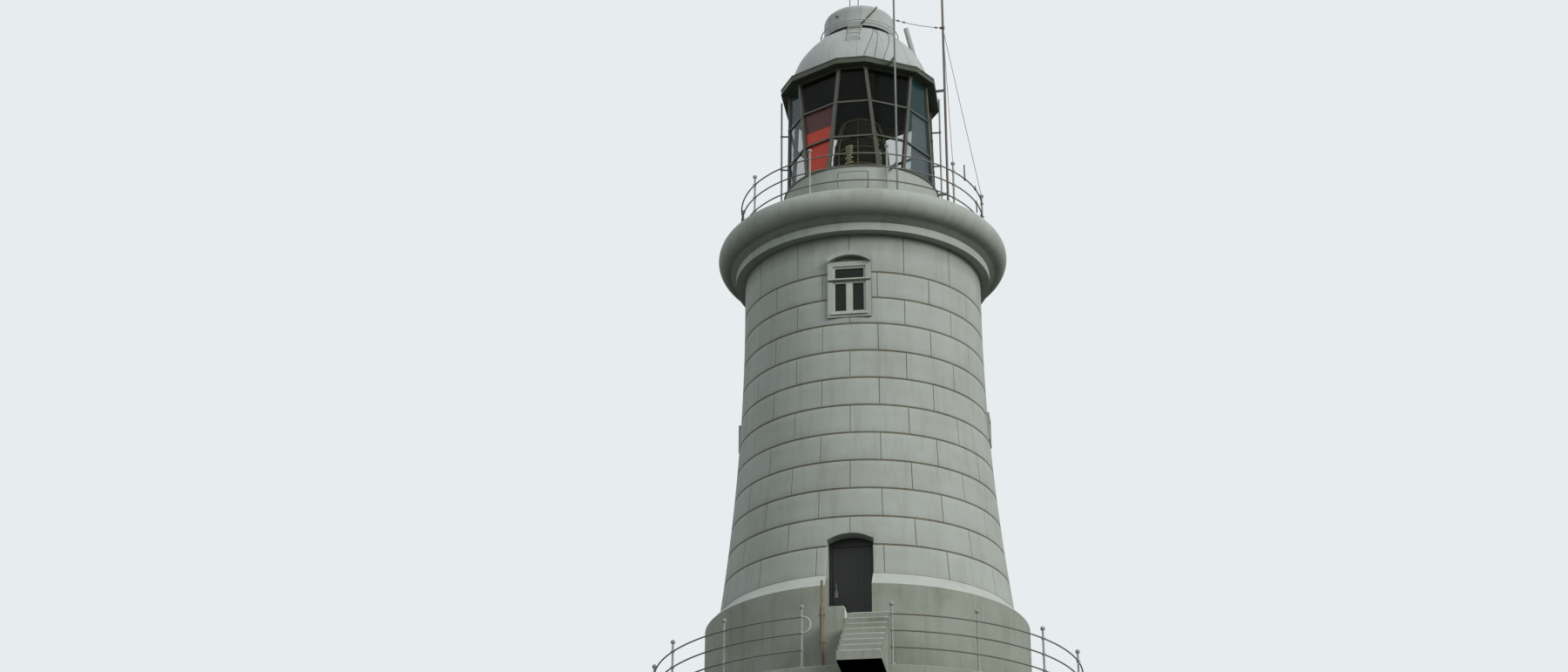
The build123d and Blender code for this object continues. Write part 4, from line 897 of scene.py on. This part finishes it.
TURN = math.radians(6.2)
PITCH, YAW, ROLL = math.radians(24.934), math.radians(-2.123), math.radians(0.146)
CAMERA_AWAY, CAMERA_Z = 51.6, -14.02
FOCAL_PIXELS, PICTURE_WIDTH, SENSOR = 2711.0, 1800, 36
scene = bpy.context.scene
camera = bpy.data.objects.new("Camera", bpy.data.cameras.new("Camera"))
scene.collection.objects.link(camera)
scene.camera = camera
camera.data.sensor_width = SENSOR
camera.data.lens = FOCAL_PIXELS / PICTURE_WIDTH * SENSOR
camera.data.clip_end = 500
heading = YAW - TURN
forward = Vector((math.sin(heading) * math.cos(PITCH), math.cos(heading) * math.cos(PITCH), math.sin(PITCH)))
right = Vector((math.cos(heading), -math.sin(heading), 0))
up = right.cross(forward)
right_rolled = math.cos(ROLL) * right + math.sin(ROLL) * up
up_rolled = math.cos(ROLL) * up - math.sin(ROLL) * right
place = Matrix.Translation(Vector((CAMERA_AWAY * math.sin(TURN), -CAMERA_AWAY * math.cos(TURN), CAMERA_Z)))
camera.matrix_world = place @ Matrix((
    (right_rolled.x, up_rolled.x, -forward.x, 0), (right_rolled.y, up_rolled.y, -forward.y, 0),
    (right_rolled.z, up_rolled.z, -forward.z, 0), (0, 0, 0, 1)))

# Floor: pale to the camera, darker to the light that it sends back, and seen from above only

floor_mat, floor_nodes, floor_link, base = new_material("Floor stage")
set_inputs(base, (("Base Color", (0.11, 0.11, 0.10, 1)), ("Roughness", 0.9)))
hidden = floor_nodes.new("ShaderNodeBsdfTransparent")
geometry = floor_nodes.new("ShaderNodeNewGeometry")
pick = floor_nodes.new("ShaderNodeMixShader")
floor_link(geometry.outputs["Backfacing"], pick.inputs[0])
pale = node_with(floor_nodes, "ShaderNodeBsdfDiffuse", Color=(0.74, 0.76, 0.77, 1))
path, view = floor_nodes.new("ShaderNodeLightPath"), floor_nodes.new("ShaderNodeMixShader")
floor_link(path.outputs["Is Camera Ray"], view.inputs[0])
floor_link(base.outputs[0], view.inputs[1])
floor_link(pale.outputs[0], view.inputs[2])
floor_link(view.outputs[0], pick.inputs[1])
floor_link(hidden.outputs[0], pick.inputs[2])
floor_link(pick.outputs[0], floor_nodes["Material Output"].inputs["Surface"])
FLOOR_HALF = 450
floor = new_object("floor", [(x, y, 0) for x, y in ((-FLOOR_HALF, -FLOOR_HALF), (FLOOR_HALF, -FLOOR_HALF),
                                                    (FLOOR_HALF, FLOOR_HALF), (-FLOOR_HALF, FLOOR_HALF))],
                   [(0, 1, 2, 3)], floor_mat, smooth=False)

# World: one colour for the light and a paler one for what is seen, mirrored or looked through

world = bpy.data.worlds.new("World")
scene.world = world
world.use_nodes = True
wn, wl = world.node_tree.nodes, world.node_tree.links.new
sky = wn["Background"]
set_inputs(sky, (("Color", (0.86, 0.90, 0.92, 1)), ("Strength", 0.58)))
seen = node_with(wn, "ShaderNodeBackground", Color=(0.80, 0.84, 0.86, 1), Strength=1.0)
path, first, second, choose = (wn.new("ShaderNodeLightPath"), wn.new("ShaderNodeMath"), wn.new("ShaderNodeMath"),
                               wn.new("ShaderNodeMixShader"))
first.operation = second.operation = "MAXIMUM"
wl(path.outputs["Is Camera Ray"], first.inputs[0])
wl(path.outputs["Is Glossy Ray"], first.inputs[1])
wl(first.outputs[0], second.inputs[0])
wl(path.outputs["Is Transmission Ray"], second.inputs[1])
wl(second.outputs[0], choose.inputs[0])
wl(sky.outputs[0], choose.inputs[1])
wl(seen.outputs[0], choose.inputs[2])
wl(choose.outputs[0], wn["World Output"].inputs["Surface"])


# Lamps: two soft suns, which no pane mirrors

def soft_sun(name, place, power, spread, colour=(1, 1, 1)):
    """A distant soft lamp that shines from a place towards the tower's axis."""
    data = bpy.data.lights.new(name, "SUN")
    data.angle, data.energy, data.color = math.radians(spread), power, colour
    lamp = bpy.data.objects.new(name, data)
    scene.collection.objects.link(lamp)
    lamp.location = place
    lamp.rotation_mode = "QUATERNION"
    lamp.rotation_quaternion = (-Vector(place)).to_track_quat("-Z", "Y")
    return lamp


key = soft_sun("key", (34, -22, 17), 2.4, 30, (1.0, 0.985, 0.96))
fill = soft_sun("fill", (-34, -30, 14), 0.45, 60, (0.93, 0.97, 1.0))
for lamp in (key, fill):
    lamp.visible_glossy = False

scene.view_settings.view_transform = "Standard"
